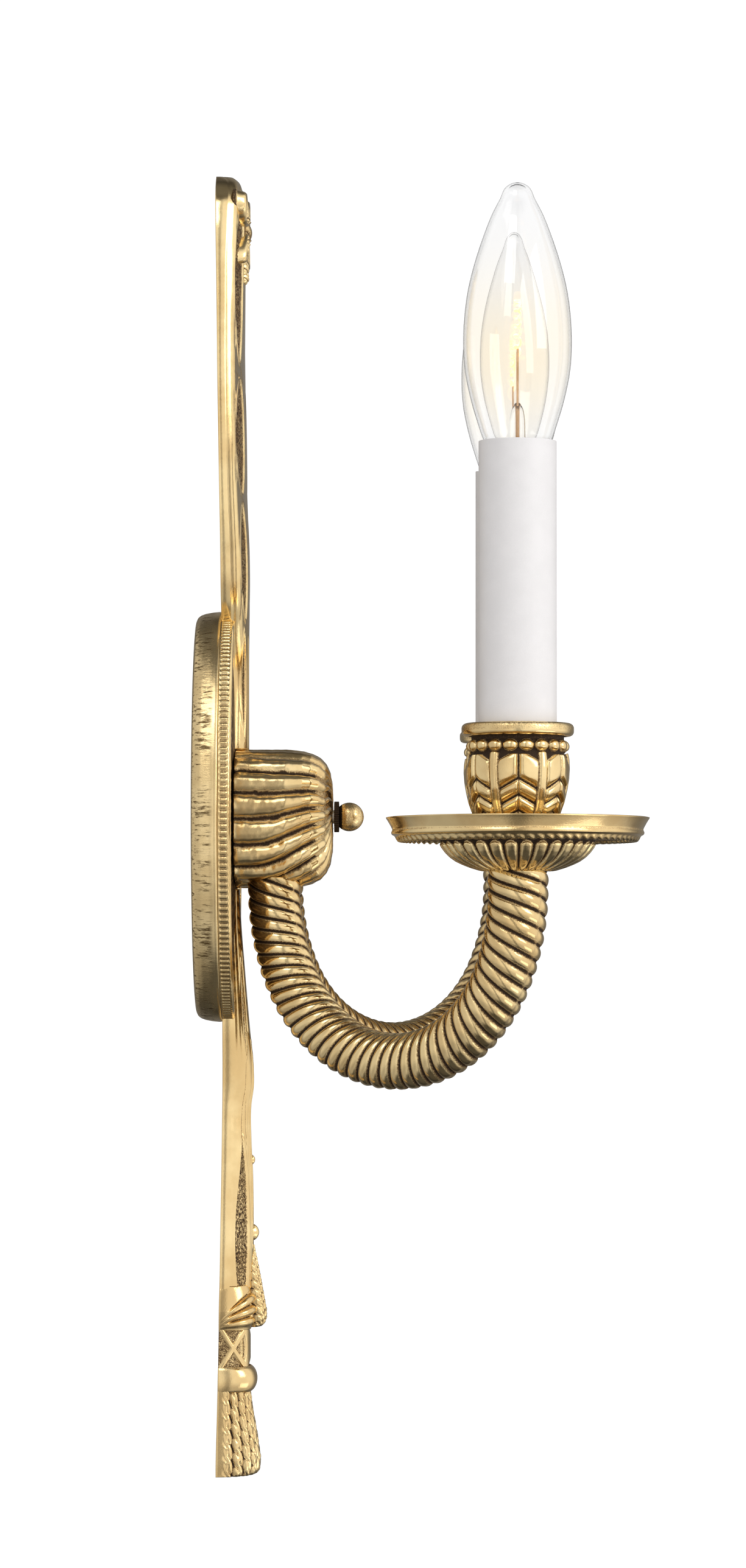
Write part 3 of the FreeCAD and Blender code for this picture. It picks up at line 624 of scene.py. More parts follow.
def full_grid(z, half, front, push):
    """Rings of a superellipse section standing on the casting's back, moved outwards by push."""
    back = casting_back(z)[:, None]
    x = width_share * half[:, None] + np.sin(turn) * push
    depth = back + depth_share * (front[:, None] - back) + frontness * push
    return np.stack([x, -np.maximum(depth, back), np.broadcast_to(z[:, None], x.shape)], axis=-1)


print("the back's distance from the wall, foot, middle and top:",
      casting_back(np.array([-ARCH_END, 0.0, ARCH_END])).round(1), "mm")

# %% [markdown]
# The shield above the canopy is made of two broad ribbons that lie side by side and twist. Where
# they part, they leave long lens-shaped openings with a pitted ground, one row of them on each
# side. An opening is told by two heights and by how far out it reaches at its widest; between the
# openings fine creases show where one ribbon slips under the other.

# %% Ribbon rules
CROWN_POWER = 2.1


def lens(z, q, low, high, inner, outer):
    """1 inside a lens between two heights that spreads from inner to outer at its middle."""
    along = np.clip((z - low) / (high - low), 0, 1)
    swell = np.sin(np.pi * along) ** 0.6
    middle = (inner + outer) / 2
    reach = (outer - inner) / 2 * swell
    return step_up(reach - np.abs(np.abs(q) - middle), -0.02, 0.03) * (swell > 0.02)


def line_mask(z, q, start, end, width):
    """A thin line from (height, share) to (height, share) on both halves of the face."""
    along = (z - start[0]) / (end[0] - start[0])
    here = start[1] + (end[1] - start[1]) * along
    inside = step_up(along, 0, 0.06) * (1 - step_up(along, 0.94, 1))
    return hump(np.abs(q), here, width) * inside


def ribbons(z, top, crown, lenses, creases, seed, ground):
    """Height and relief of a crowned ribbon face with pitted lenses and fine creases."""
    q = np.linspace(-1, 1, FACE_STEPS)[None]
    tall = z[:, None]
    pits = np.random.default_rng(seed).random((len(z), FACE_STEPS))
    height = top[:, None] - crown[:, None] * np.abs(q) ** CROWN_POWER
    shine = np.full_like(height, POLISHED)
    for low, high, inner, outer in lenses:
        inside = lens(tall, q, low, high, inner, outer)
        rim = lens(tall, q, low - 1.5, high + 1.5, inner - 0.07, outer + 0.07) - inside
        height = height + 0.22 * np.clip(rim, 0, 1) - inside * (0.75 - 0.45 * pits)
        shine = shine * (1 - inside) + inside * (0.02 + ground * pits ** 1.5)
    for start, end in creases:
        line = line_mask(tall, q, start, end, 0.028)
        height = height - 0.25 * line
        shine = shine - 0.55 * line
    return height, np.clip(shine, 0, 1)


def through(spots, knots):
    """A smooth curve of values through (place, value) knots: cubic runs with matched slopes."""
    place, value = np.array(knots, dtype=float).T
    slope = np.gradient(value, place)
    i = np.clip(np.searchsorted(place, spots) - 1, 0, len(place) - 2)
    run = place[i + 1] - place[i]
    t = np.clip((spots - place[i]) / run, 0, 1)
    return ((1 + 2 * t) * (1 - t) ** 2 * value[i] + t * (1 - t) ** 2 * run * slope[i]
            + t * t * (3 - 2 * t) * value[i + 1] + t * t * (t - 1) * run * slope[i + 1])


print("crown halfway to the edge:", round(0.5 ** CROWN_POWER, 3))

# %% [markdown]
# Each strip is told by four things that change with height: how wide it is, how far its crest
# stands from the wall, how much it falls towards its sides, and where its openings and creases are.

# %% Shield
shield_z = np.arange(20.5, 194.6, 0.42)
shield_half = through(shield_z, [
    (20, 8.4), (50, 8.6), (58, 13.0), (64, 17.5), (81, 22.5), (99, 25.5), (128, 27), (152, 24),
    (165, 21.8), (181, 20), (188, 17.0), (192, 12.0), (194.6, 6.5)])
shield_top = through(shield_z, [
    (20, 15.9), (50, 15.9), (64, 16.0), (81, 15.8), (99, 15.2), (128, 14.7), (152, 14.5),
    (165, 14.6), (181, 14.9), (187, 14.6), (191, 13.8), (193.5, 12.6), (194.6, 11.2)])
shield_crown = through(shield_z, [
    (20, 2.8), (50, 2.8), (64, 2.5), (99, 2.5), (152, 2.5), (181, 2.4), (194.6, 1.2)])
SHIELD_LENSES = [(137.0, 190.0, 0.40, 0.90), (97.5, 132.0, 0.34, 0.90), (60.0, 94.5, 0.40, 0.84),
                 (24.0, 56.0, 0.60, 0.80)]
SHIELD_CREASES = [((136.0, 0.60), (130.5, 0.35)), ((134.0, 0.90), (131.0, 0.60)),
                  ((97.0, 0.62), (58.0, 0.90)), ((129.0, 0.93), (100.0, 0.92)),
                  ((96.0, 0.60), (94.0, 0.45)), ((56.0, 0.30), (20.0, 0.34)),
                  ((180.0, 0.88), (140.0, 0.90))]
shield_height, shield_shine = ribbons(shield_z, shield_top, shield_crown, SHIELD_LENSES, SHIELD_CREASES,
                                      seed=5, ground=0.42)
piece("ribbon_shield", ribbon_grid(shield_z, shield_half, shield_height, corner=2.4),
      pad_walls(shield_shine), cast_brass, ["backplate"])

# %% Stem
stem_z = np.arange(-146.0, -21.7, 0.40)
stem_half = through(stem_z, [
    (-146, 8.2), (-120, 7.4), (-96, 6.4), (-86, 5.8), (-78, 6.4), (-63, 8.0), (-44, 8.4), (-21, 8.4)])
stem_top = through(stem_z, [
    (-146, 17.3), (-120, 17.2), (-108, 16.9), (-98, 16.4), (-88, 16.4), (-82, 17.2), (-77, 17.2),
    (-63, 16.0), (-55, 15.3), (-44, 14.4), (-34, 13.6), (-21, 13.0)])
stem_crown = through(stem_z, [
    (-146, 6.0), (-120, 5.6), (-96, 4.2), (-78, 3.8), (-63, 2.6), (-44, 1.8), (-21, 1.0)])
STEM_LENSES = [(-156.0, -98.0, 0.52, 0.94), (-130.0, -69.0, 0.20, 0.32), (-72.5, -44.0, 0.62, 0.84)]
STEM_CREASES = [((-101.0, 0.78), (-74.0, 0.72)), ((-66.0, 0.48), (-40.0, 0.50)),
                ((-100.0, 0.52), (-86.0, 0.60))]
stem_height, stem_shine = ribbons(stem_z, stem_top, stem_crown, STEM_LENSES, STEM_CREASES,
                                  seed=7, ground=0.66)
piece("ribbon_stem", ribbon_grid(stem_z, stem_half, stem_height, corner=1.2),
      pad_walls(stem_shine), cast_brass, ["backplate"])

# %% [markdown]
# The bow is carved in relief near the top: two small plump loops, a folded knot, and a pod of
# overlapping leaves that hangs from it. A loop or a knot is a disc drawn in polar form, with rings
# that grow from its middle to its rim and then go down its wall.

# %% Bow rules
BOW_BASE = 11.6
BOW_POLISH = 0.66
DISC_TOP, DISC_WALL, DISC_BACK = 60, 8, 6


def disc_grid(centre, half_length, half_breadth, tilt, height, shine, columns=88):
    """Rings of a raised oval disc from its middle, over the rim, down the wall and in behind."""
    t = 2 * np.pi * np.arange(columns) / columns
    rho = np.linspace(0.02, 1.0, DISC_TOP)[:, None]
    top = height(rho, t[None])
    wall = np.linspace(0.9, 0.0, DISC_WALL)[:, None] * top[-1:]
    depth = np.concatenate([top, wall, np.zeros((DISC_BACK, columns))])
    inward = np.linspace(1.0, 0.05, DISC_BACK)[:, None]
    radius = np.concatenate([rho, np.ones((DISC_WALL, 1)), inward])
    u = radius * half_length * np.cos(t)
    v = radius * half_breadth * np.sin(t)
    x = centre[0] + u * math.cos(tilt) - v * math.sin(tilt)
    z = centre[1] + u * math.sin(tilt) + v * math.cos(tilt)
    dull = np.full((DISC_WALL + DISC_BACK, columns), 0.15)
    bright = np.concatenate([BOW_POLISH * shine(rho, t[None]), dull])
    return np.stack([x, -(BOW_BASE + depth), z], axis=-1), bright


def toward_knot(t):
    """1 at the loop's end by the knot, where t is half a turn, and 0 on the far half."""
    return np.clip(-np.cos(t), 0, 1) ** 3


def loop_height(rho, t):
    """A rolled rim over a sunk middle; creases run out from the knot's end."""
    roll = hump(rho, 0.72, 0.20)
    edge_fall = 1.8 * step_up(rho, 0.80, 1.0) ** 1.5
    creases = toward_knot(t) * np.abs(np.sin(7 * t)) * step_up(rho, 0.15, 0.5)
    return 2.2 + 1.9 * roll - edge_fall + toward_knot(t) * rho - 0.5 * creases


def loop_shine(rho, t):
    """Bright on the rolled rim, dark in the sunk middle and along the creases."""
    creases = toward_knot(t) * (1 - np.abs(np.sin(7 * t))) ** 3
    on_roll = step_up(rho, 0.42, 0.62) * (1 - step_up(rho, 0.93, 1.0))
    return np.clip(0.05 + 0.95 * on_roll - 0.9 * creases, 0, 1)


def fold_wave(rho, t):
    """0 along each fold that crosses a dome, and 1 halfway between two folds."""
    return np.abs(np.cos(rho * np.sin(t + 0.5) * 4.2))


def knot_height(rho, t):
    """A full dome with folds across it."""
    dome = np.sqrt(np.clip(1 - (0.82 * rho) ** 2, 0, 1))
    return 5.2 * dome - 0.6 * (1 - fold_wave(rho, t) ** 0.5)


def leaf_height(rho, t):
    """The same dome, flatter."""
    return 0.82 * knot_height(rho, t)


def knot_shine(rho, t):
    """Dark along the folds and at the foot."""
    return np.clip(0.1 + 1.1 * fold_wave(rho, t) ** 0.6 - step_up(rho, 0.85, 1.0), 0, 1)


print("a loop's height on its roll:", float(loop_height(0.72, 0.0).round(2)), "mm")

# %% Bow
LOOPS = [((9.4, 184.0), (8.8, 5.4), math.radians(22)), ((8.4, 172.5), (8.0, 3.6), math.radians(-38))]
LEAF_ROWS = [(171.0, 3.4), (167.8, 3.0), (165.0, 2.4)]
bow = []
for side in SIDES.values():
    for (loop_x, loop_z), size, lean in LOOPS:
        tilt = lean if side > 0 else math.pi - lean
        bow.append(disc_grid((side * loop_x, loop_z), *size, tilt, loop_height, loop_shine))
bow.append(disc_grid((0, 178.0), 4.8, 4.8, 0.0, knot_height, knot_shine))
for leaf_z, leaf_size in LEAF_ROWS:
    for side in (-1, 0, 1):
        spot = (side * leaf_size * 0.75, leaf_z - 0.9 * abs(side))
        bow.append(disc_grid(spot, leaf_size * 0.62, leaf_size * 0.9, 0.0, leaf_height, knot_shine, 60))
piece("ribbon_bow", bow, None, cast_brass, ["backplate"])

# %% [markdown]
# Below the stem hangs one long tassel in four parts: a knot of folds that wrap round from the back
# edge, a neck bound crosswise, a smooth ring, and a skirt of leafy cords. A short leafy pod and
# three little balls stand out in front of the stem. Each part is a full section whose push draws
# its pattern, and all of them become one mesh.

# %% Tassel knot, neck and ring
KNOT_FOOT, KNOT_TOP = -156.0, -142.4
FOLDS_START = -155.4
NECK_MIDDLE, NECK_HALF = -161.4, 6.6
RING_MIDDLE, RING_HALF = -171.0, 4.1


def folded_knot():
    """Folds that start together at the back's lower edge and spread upwards towards the front."""
    z = np.arange(KNOT_FOOT, KNOT_TOP, 0.14)
    tall = z[:, None]
    spread = np.maximum(3.7 * frontness ** 0.45, 0.25)
    folds = (tall - FOLDS_START) / spread
    groove = grooves(folds, 0.12) * (folds < 3.3) * step_up(folds, 0.3, 0.6)
    groove = groove * step_up(frontness, 0.12, 0.35)
    bulge = 1.3 * np.sin(np.pi * np.clip((tall - KNOT_FOOT) / (KNOT_TOP - KNOT_FOOT), 0, 1)) ** 0.6
    crown = (0.5 - 0.5 * np.cos(2 * np.pi * folds)) * (folds < 3.0)
    push = bulge + 0.7 * crown * frontness - groove
    half = np.interp(z, [-156, -150, -143], [7.6, 8.2, 7.6])
    front = np.interp(z, [-156, -150, -143], [16.2, 16.8, 16.2])
    shine = np.clip(1.0 - 0.85 * groove - 0.5 * hump(tall, KNOT_FOOT, 0.5), 0, 1)
    return full_grid(z, half, front, push), shine


def bound_neck():
    """Two bands that cross in an X on each flank, over a pitted ground with a rib near the front."""
    z = np.arange(-168.0, -154.6, 0.16)
    s = (z[:, None] - NECK_MIDDLE) / NECK_HALF
    face = (depth_share - 0.49) / 0.49
    cross = np.minimum(np.abs(face - s * 0.92), np.abs(face + s * 0.92))
    front_arc = np.abs(face - 0.72 - 0.26 * (1 - s ** 2))
    band = 1 - step_up(np.minimum(cross, front_arc), 0.12, 0.22)
    rim = step_up(np.abs(s), 0.90, 0.98)
    pits = np.random.default_rng(9).random((len(z), SKIN_STEPS))
    rib = hump(depth_share, 0.77, 0.035) * (1 - step_up(np.abs(s), 0.45, 0.60))
    raised = np.maximum(band, rim)
    push = 0.75 * raised + (0.45 * rib + 0.20 * pits) * (1 - raised)
    shine = np.clip(0.12 + 0.50 * rib + 0.40 * pits + 0.95 * raised, 0, 1)
    return full_grid(z, np.full(len(z), 7.2), np.full(len(z), 15.6), push), shine


def smooth_ring():
    """A plain rounded band: the push is a half circle over its height, fuller towards the front."""
    z = np.arange(-175.2, -166.9, 0.13)
    s = (z[:, None] - RING_MIDDLE) / RING_HALF
    push = (1.2 + 1.6 * frontness) * np.sqrt(np.clip(1 - s ** 2, 0.02, 1)) - 0.3
    shine = 1 - 0.8 * hump(np.abs(s), 1, 0.12)
    return full_grid(z, np.full(len(z), 7.8), np.full(len(z), 15.9), push), shine


print("rows of points in the knot:", len(folded_knot()[1]))

# %% [markdown]
# The skirt and the pod are cords side by side, spaced evenly along the section's own length, and
# each cord is a row of slanting leaves. A hem rounds their foot.

# %% Leafy cords
skin_run = travel(np.stack([width_share[0], depth_share[0]], 1))
skin_share = skin_run[None] / skin_run[-1] * 2 - 1


def leafy_cords(z, half, front, cords, leaf, seed, smooth_back, hem_height, hem_depth):
    """Cords of slanting leaves: grooves between cords and between leaves, none near the back edge."""
    tall = z[:, None]
    across = skin_share * cords / 2
    between = grooves(across + 0.5, 0.15)
    cord = np.floor(across + 1.0)
    slant = ((across + 0.5) % 1.0 - 0.5) * np.sign(turn)
    leaves = tall / leaf - 0.9 * slant + 0.5 * (cord % 2)
    tip = grooves(leaves, 0.18)
    swell = (leaves % 1.0) ** 1.5
    fade = step_up(frontness, smooth_back, smooth_back + 0.12)
    uneven = soften(np.random.default_rng(seed).random((len(z), SKIN_STEPS)), 3.0) - 0.5
    low = (tall - z.min()) / hem_height
    hem = 1 - np.sqrt(np.clip(1 - (1 - np.clip(low, 0, 1)) ** 2, 0, 1))
    leafy = -0.65 * between - 0.45 * tip + 0.55 * swell + 0.3 * uneven
    push = fade * leafy - hem_depth * hem * frontness
    shine = np.clip(1.0 - fade * (0.68 * between + 0.62 * tip), 0, 1)
    return full_grid(z, half, front, push), shine


SKIRT_HEIGHTS = [-200, -195, -188, -180, -173]
POD_HEIGHTS = [-155.4, -150, -138, -130.3]
BALLS = [(-24.4, 1.1, 12.9), (-104.5, 1.7, 16.6), (-126.6, 2.7, 16.8)]
BALL_ROWS = 30
skirt_z = np.arange(-200.0, -173.2, 0.16)
skirt_half = np.interp(skirt_z, SKIRT_HEIGHTS, [11.2, 11.4, 10.6, 9.2, 8.0])
skirt_front = np.interp(skirt_z, SKIRT_HEIGHTS, [19.0, 19.2, 18.2, 16.8, 15.9])
skirt = leafy_cords(skirt_z, skirt_half, skirt_front, cords=12, leaf=4.4, seed=2, smooth_back=0.10,
                    hem_height=2.2, hem_depth=1.9)
pod_z = np.arange(-155.4, -130.3, 0.18)
pod_half = np.interp(pod_z, POD_HEIGHTS, [4.2, 4.6, 3.6, 1.8])
pod_front = np.interp(pod_z, POD_HEIGHTS, [21.2, 21.0, 18.8, 17.2])
pod = leafy_cords(pod_z, pod_half, pod_front, cords=6, leaf=2.6, seed=3, smooth_back=0.0,
                  hem_height=4.0, hem_depth=2.6)
balls = []
for centre_z, radius, foot in BALLS:
    ball_z = centre_z + radius * np.sin(np.linspace(-1.5, 1.5, BALL_ROWS))
    profile = np.sqrt(np.clip(radius ** 2 - (ball_z - centre_z) ** 2, 1e-4, None))
    balls.append((full_grid(ball_z, profile, foot - 0.6 + profile, 0.0), 1.0))
piece("long_tassel", [folded_knot(), bound_neck(), smooth_ring(), skirt, pod] + balls, None, cast_brass,
      ["backplate"])

# %% [markdown]
# ## The fluted body
# The body is a hollow cup with a squarish oval section. Broad flutes run forward from the plate and
# then swirl as they close on the middle of the front. Its rings are one superellipse at different
# sizes: |x/a| to the power n plus |z/b| to the power n is one. Points are spread evenly along the
# ring, so that every flute starts with the same width; a sine of twice the turn then gathers the
# flutes towards the middle of each side.

# %% Body outline
body_low, body_high = box_mm("body_cup")
BODY_A = body_high[0]
BODY_B = (body_high[2] - body_low[2]) / 2
BODY_Z = (body_high[2] + body_low[2]) / 2
BODY_FRONT = -body_low[1]
BODY_BACK = -body_high[1]
BODY_WALL = 1.7
BODY_ROWS = 150
BODY_POWER = 3.1
FLUTES = 20
BODY_COLUMNS = FLUTES * 18


def superellipse(columns):
    """Evenly spaced points of |x|^n + |z|^n = 1 stretched to the body's half sizes."""
    t = np.linspace(0, 2 * np.pi, 4001)
    x = BODY_A * np.sign(np.cos(t)) * np.abs(np.cos(t)) ** (2 / BODY_POWER)
    z = BODY_B * np.sign(np.sin(t)) * np.abs(np.sin(t)) ** (2 / BODY_POWER)
    ring = np.stack([x, z], 1)
    along = travel(ring)
    return resampled(ring, along, np.linspace(0, along[-1], columns, endpoint=False))


body_line = outline([(0.02, BODY_FRONT - 0.1), (0.30, BODY_FRONT - 0.15), (0.50, BODY_FRONT - 0.35),
                     (0.66, BODY_FRONT - 0.9), (0.79, BODY_FRONT - 2.1), (0.88, BODY_FRONT - 3.9),
                     (0.94, BODY_FRONT - 6.2), (0.975, BODY_FRONT - 9.0), (1.0, BODY_FRONT - 14.0),
                     (1.0, BODY_BACK + 0.1)], 0.004, 0.004)
body_line = resampled(body_line, np.linspace(0, 1, len(body_line)), np.linspace(0, 1, BODY_ROWS))
body_run = travel(body_line * [BODY_B, 1])
outer = resampled(body_line, body_run, np.linspace(0, body_run[-1], BODY_ROWS))
ring = superellipse(BODY_COLUMNS)
print("outline of", len(outer), "rows, each a ring of", len(ring), "points")

# %% [markdown]
# The flutes are drawn by a phase that counts them round the ring, and a groove lies wherever it is
# a whole number. The swirl turns it further on as the cup closes, and the gather draws the flutes
# together. The outer skin is then joined to a plain inner one, so the cup has a real wall.

# %% Body flutes
scale, depth = outer[:, :1], outer[:, 1:]
round_body = np.arange(BODY_COLUMNS)[None] / BODY_COLUMNS
forward = (depth - BODY_BACK) / (BODY_FRONT - BODY_BACK)
swirl = 0.75 * step_up(forward, 0.2, 1.0) ** 1.3 + 2.4 * np.clip(1 - scale / 0.75, 0, 1)
gather = 0.8 * step_up(forward, 0.15, 1.0) * np.sin(4 * np.pi * round_body)
phase = FLUTES * round_body + swirl + gather
uneven = soften(soften(np.random.default_rng(3).random((BODY_ROWS, BODY_COLUMNS)), 2.0).T, 2.0).T
uneven = (uneven - uneven.mean()) / uneven.std()
flute_groove = grooves(phase + 0.012 * uneven, 0.12 + 0.07 * forward)
flute_round = 0.5 - 0.5 * np.cos(2 * np.pi * phase)
fade = step_up(scale, 0.12, 0.45)
push = (-1.05 * flute_groove + 0.90 * flute_round - 0.80 + 0.03 * uneven) * fade
body_shine = np.clip(1 - (0.95 * flute_groove + 0.05 * np.abs(uneven)) * fade, 0, 1)
print("flutes pushed in and out by", push.min().round(2), "to", push.max().round(2), "mm")

# %% Body skin
ring_normal = side_normals(ring, looped=True)
line_normal = np.abs(side_normals(outer * [BODY_B, 1]))
flat = ring[None] * scale[..., None] + ring_normal[None] * (push * line_normal[:, :1])[..., None]
skin_out = np.stack([flat[..., 0], -(depth + push * line_normal[:, 1:]), flat[..., 1] + BODY_Z], -1)
inside = outer[::-4]
inner_scale = np.clip(inside[:, :1] - BODY_WALL / BODY_B, 0.02, 1)
inner_depth = np.minimum(inside[:, 1:], BODY_FRONT - BODY_WALL - 0.3)
inner_flat = ring[None] * inner_scale[..., None]
skin_in = np.stack([inner_flat[..., 0], np.broadcast_to(-inner_depth, inner_flat.shape[:2]),
                    inner_flat[..., 1] + BODY_Z], -1)
body_relief = np.concatenate([body_shine, np.full((len(inside), BODY_COLUMNS), 0.4)])
piece("fluted_body", np.concatenate([skin_out, skin_in]), body_relief, cast_brass, ["body_cup"])

# %% [markdown]
# ## The finial
# The finial is one turned nut: a flange with a straight knurl to grip, a short knurled neck and a
# polished ball. It turns on the rod, so it rides on the finial's own body.

# %% Finial
finial_low, finial_high = box_mm("ball_finial")
FINIAL_BACK, FINIAL_FRONT = -finial_high[1], -finial_low[1]
FLANGE_END = FINIAL_BACK + 1.5
FLANGE_RADIUS = 4.7
BALL_RADIUS = 4.4
KNURLS = 40
KNURL_STEPS = 6


def turned_grid(line, columns, swell=0.0, looped=False):
    """A profile of (radius, height) turned about Z: x = r cos a, y = r sin a, moved out by swell."""
    normal = side_normals(line, looped)
    swell = np.broadcast_to(swell, (len(line), columns))
    radius = np.maximum(line[:, :1] + normal[:, :1] * swell, 0.0)
    height = line[:, 1:] + normal[:, 1:] * swell
    angle = 2 * np.pi * np.arange(columns) / columns
    return np.stack([radius * np.cos(angle), radius * np.sin(angle), height], axis=-1)


ball_middle = FINIAL_FRONT - BALL_RADIUS
arc = np.linspace(-1.05, np.pi / 2 - 0.02, 40)
ball_points = [(BALL_RADIUS * math.cos(a), ball_middle + BALL_RADIUS * math.sin(a)) for a in arc]
finial_line = outline([(0.05, FINIAL_BACK), (FLANGE_RADIUS, FINIAL_BACK), (FLANGE_RADIUS, FLANGE_END),
                       (2.9, FLANGE_END), (2.6, FLANGE_END + 0.4)] + ball_points, 0.10, 0.10)
finial_r, finial_depth = finial_line[:, :1], finial_line[:, 1:]
on_flange = (finial_r > 4.2) & (finial_depth < FLANGE_END + 0.1)
on_neck = (finial_depth > FLANGE_END - 0.1) & (finial_depth < FLANGE_END + 0.9)
teeth = grooves(np.arange(KNURLS * KNURL_STEPS)[None] / KNURL_STEPS, 0.24)
finial_swell = -0.28 * teeth * on_flange - 0.20 * teeth * on_neck
finial_relief = np.clip(0.50 - 0.6 * teeth * (on_flange | on_neck) - 0.4 * (on_neck | on_flange), 0, 1)
upright = turned_grid(finial_line, KNURLS * KNURL_STEPS, finial_swell)
finial_grid = np.stack([upright[..., 0], -upright[..., 2], upright[..., 1]], -1)
turned_brass = aged_brass("turned_brass", polish_roughness=0.12, grain=0.4)
piece("finial_nut", finial_grid, finial_relief, turned_brass, ["ball_finial"],
      body="finial")

# %% [markdown]
# ## The rope-twist arms
# Each arm is a U that was cast as a rope of four strands. Its centre line is three tangent arcs in
# an upright plane, the same as the frame's tube. Round it goes a ring whose radius follows a row of
# half-round cords, and the cords' place climbs along the arm, which makes the twist. A narrow seam
# where the two halves of the mould met was filed flatter along the inside and outside of the bend.

# %% Arms
STRANDS = 4
ARM_COLUMNS = 112
CORD_HEIGHT = 1.55
ARM_START = np.array([12.0, -24.0])
ARM_END = np.array([70.0, -96.7])
ARM_SPAN = float(np.linalg.norm(ARM_END - ARM_START))
ARM_TOP = body_low[2]
ARM_DROP = 51.0
SIDE_ARC = 58.0
CANDLE_END_TOP = -15.5
ARM_INSIDE_BODY = 3.5


def arm_line(step):
    """Distance along the plan and height of the centre line: three tangent arcs and a short rise."""
    half = ARM_SPAN / 2
    offset = SIDE_ARC - half
    low_radius = (SIDE_ARC ** 2 - offset ** 2 - ARM_DROP ** 2) / (2 * (SIDE_ARC - ARM_DROP))
    low_centre = ARM_TOP - ARM_DROP + low_radius
    meet = math.atan2(ARM_TOP - low_centre, offset)
    arcs = [(half + offset, ARM_TOP, SIDE_ARC, math.pi, math.pi + meet),
            (half, low_centre, low_radius, math.pi + meet, 2 * math.pi - meet),
            (half - offset, ARM_TOP, SIDE_ARC, 2 * math.pi - meet, 2 * math.pi)]
    points = [np.array([[0.0, ARM_TOP + ARM_INSIDE_BODY]])]
    for centre, height, radius, start, end in arcs:
        t = np.linspace(start, end, int(radius * (end - start) / step))
        points.append(np.stack([centre + radius * np.cos(t), height + radius * np.sin(t)], 1)[1:])
    points.append(np.array([[ARM_SPAN, CANDLE_END_TOP]]))
    return outline(np.concatenate(points), step, step)


def rope_arm(side):
    """Rings of radius R - D (1 - c) round the centre line, where c is the height of a round cord."""
    line = arm_line(step=0.36)
    heading = np.append(side * (ARM_END - ARM_START)[:1], (ARM_END - ARM_START)[1:]) / ARM_SPAN
    travelled = travel(line)
    share = travelled / travelled[-1]
    radius = np.interp(share, [0, 0.5, 0.93, 1], [7.9, 8.35, 8.8, 8.9])
    pitch = np.interp(share, [0, 0.12, 0.5, 0.85, 1], [4.05, 3.9, 3.8, 4.0, 4.1])
    twist = np.concatenate([[0], np.cumsum(np.diff(travelled) / pitch[1:])])
    angle = 2 * np.pi * np.arange(ARM_COLUMNS) / ARM_COLUMNS
    phase = STRANDS * angle[None] / (2 * np.pi) - side * twist[:, None]
    seam = hump(np.sin(angle[None]), 0, 0.09)
    across_cord = 2 * (phase % 1.0) - 1
    cord = np.sqrt(np.clip(1 - (0.985 * across_cord) ** 2, 0, 1))
    cord = cord + (0.8 - cord) * 0.6 * seam
    surface = radius[:, None] + 0.15 - CORD_HEIGHT * (1 - cord)
    outward = side_normals(line)
    up_down = surface * np.cos(angle)[None]
    sideways = surface * np.sin(angle)[None]
    along = line[:, :1] + outward[:, :1] * up_down
    height = line[:, 1:] + outward[:, 1:] * up_down
    across = np.array([-heading[1], heading[0]])
    x = side * ARM_START[0] + heading[0] * along + across[0] * sideways
    y = ARM_START[1] + heading[1] * along + across[1] * sideways
    return np.stack([x, y, height], -1), np.clip((cord - 0.50) / 0.46, 0, 1)


for word, side in SIDES.items():
    arm_grid, arm_relief = rope_arm(side)
    piece(f"rope_arm_{word}", arm_grid, arm_relief, rope_brass, [f"arm_{word}"])

# %% [markdown]
# ## The drip pans
# A drip pan catches wax on a real candlestick. It is turned from one profile: a flared lip, a small
# groove and a roll, a corded ring under the roll, and a bowl with tongue-shaped flutes. The profile
# is traced from the hole in the middle out to the rim underneath, and back over the top.

# %% Drip pan outline
PAN_FLUTES = 30
CORD_TWISTS = 78
PAN_COLUMNS = PAN_FLUTES * 16
BOWL_EDGE = 22.9
CORD_RADIUS = 34.2
BULB_JOINT_HEIGHT = 100.0


def to_candle(grid, word):
    """Carry a grid drawn upright on Z, at true heights, to a candle's own leaned axis."""
    joint = joints[f"bulb_{word}_turn"]
    up = np.array(joint["axis"])
    sideways = np.array([up[2], 0, -up[0]])
    deep = np.array([0.0, 1.0, 0.0])
    place = np.array(joint["pos_m"]) / MM
    return (place + grid[..., 0:1] * sideways + grid[..., 1:2] * deep
            + (grid[..., 2:3] - BULB_JOINT_HEIGHT) * up)


pan_line = outline([(5.0, -13.9), (5.0, -15.8), (8.2, -15.8), (11.0, -15.4), (13.7, -14.6), (16.0, -13.7),
                    (17.9, -12.8), (19.6, -11.6), (21.0, -10.2), (22.1, -8.7), (22.9, -7.1), (23.6, -6.5),
                    (32.6, -6.4), (33.0, -7.0), (34.0, -7.5), (35.0, -7.3), (35.6, -6.4), (35.9, -5.6),
                    (36.7, -5.3), (37.0, -4.7), (36.7, -4.1), (36.5, -3.8), (36.9, -3.0), (37.5, -1.9),
                    (38.1, -0.9), (38.6, -0.2), (37.9, -0.1), (37.2, -1.2), (36.2, -2.6), (34.6, -3.9),
                    (32.0, -4.8), (28.0, -5.4), (24.0, -5.9), (21.8, -7.0), (20.0, -8.8), (17.6, -10.8),
                    (14.5, -12.4), (10.0, -13.5)], 0.32, 0.22, looped=True)
rim_point = np.argmax(pan_line[:, 0])
pan_line = thinned(pan_line, np.arange(len(pan_line)) < rim_point + 8, 3)
pan_r, pan_z = pan_line[:, :1], pan_line[:, 1:]
under = np.arange(len(pan_line))[:, None] < np.argmax(pan_r)
print("the pan's outline has", len(pan_line), "points,", int(under.sum()), "of them underneath")

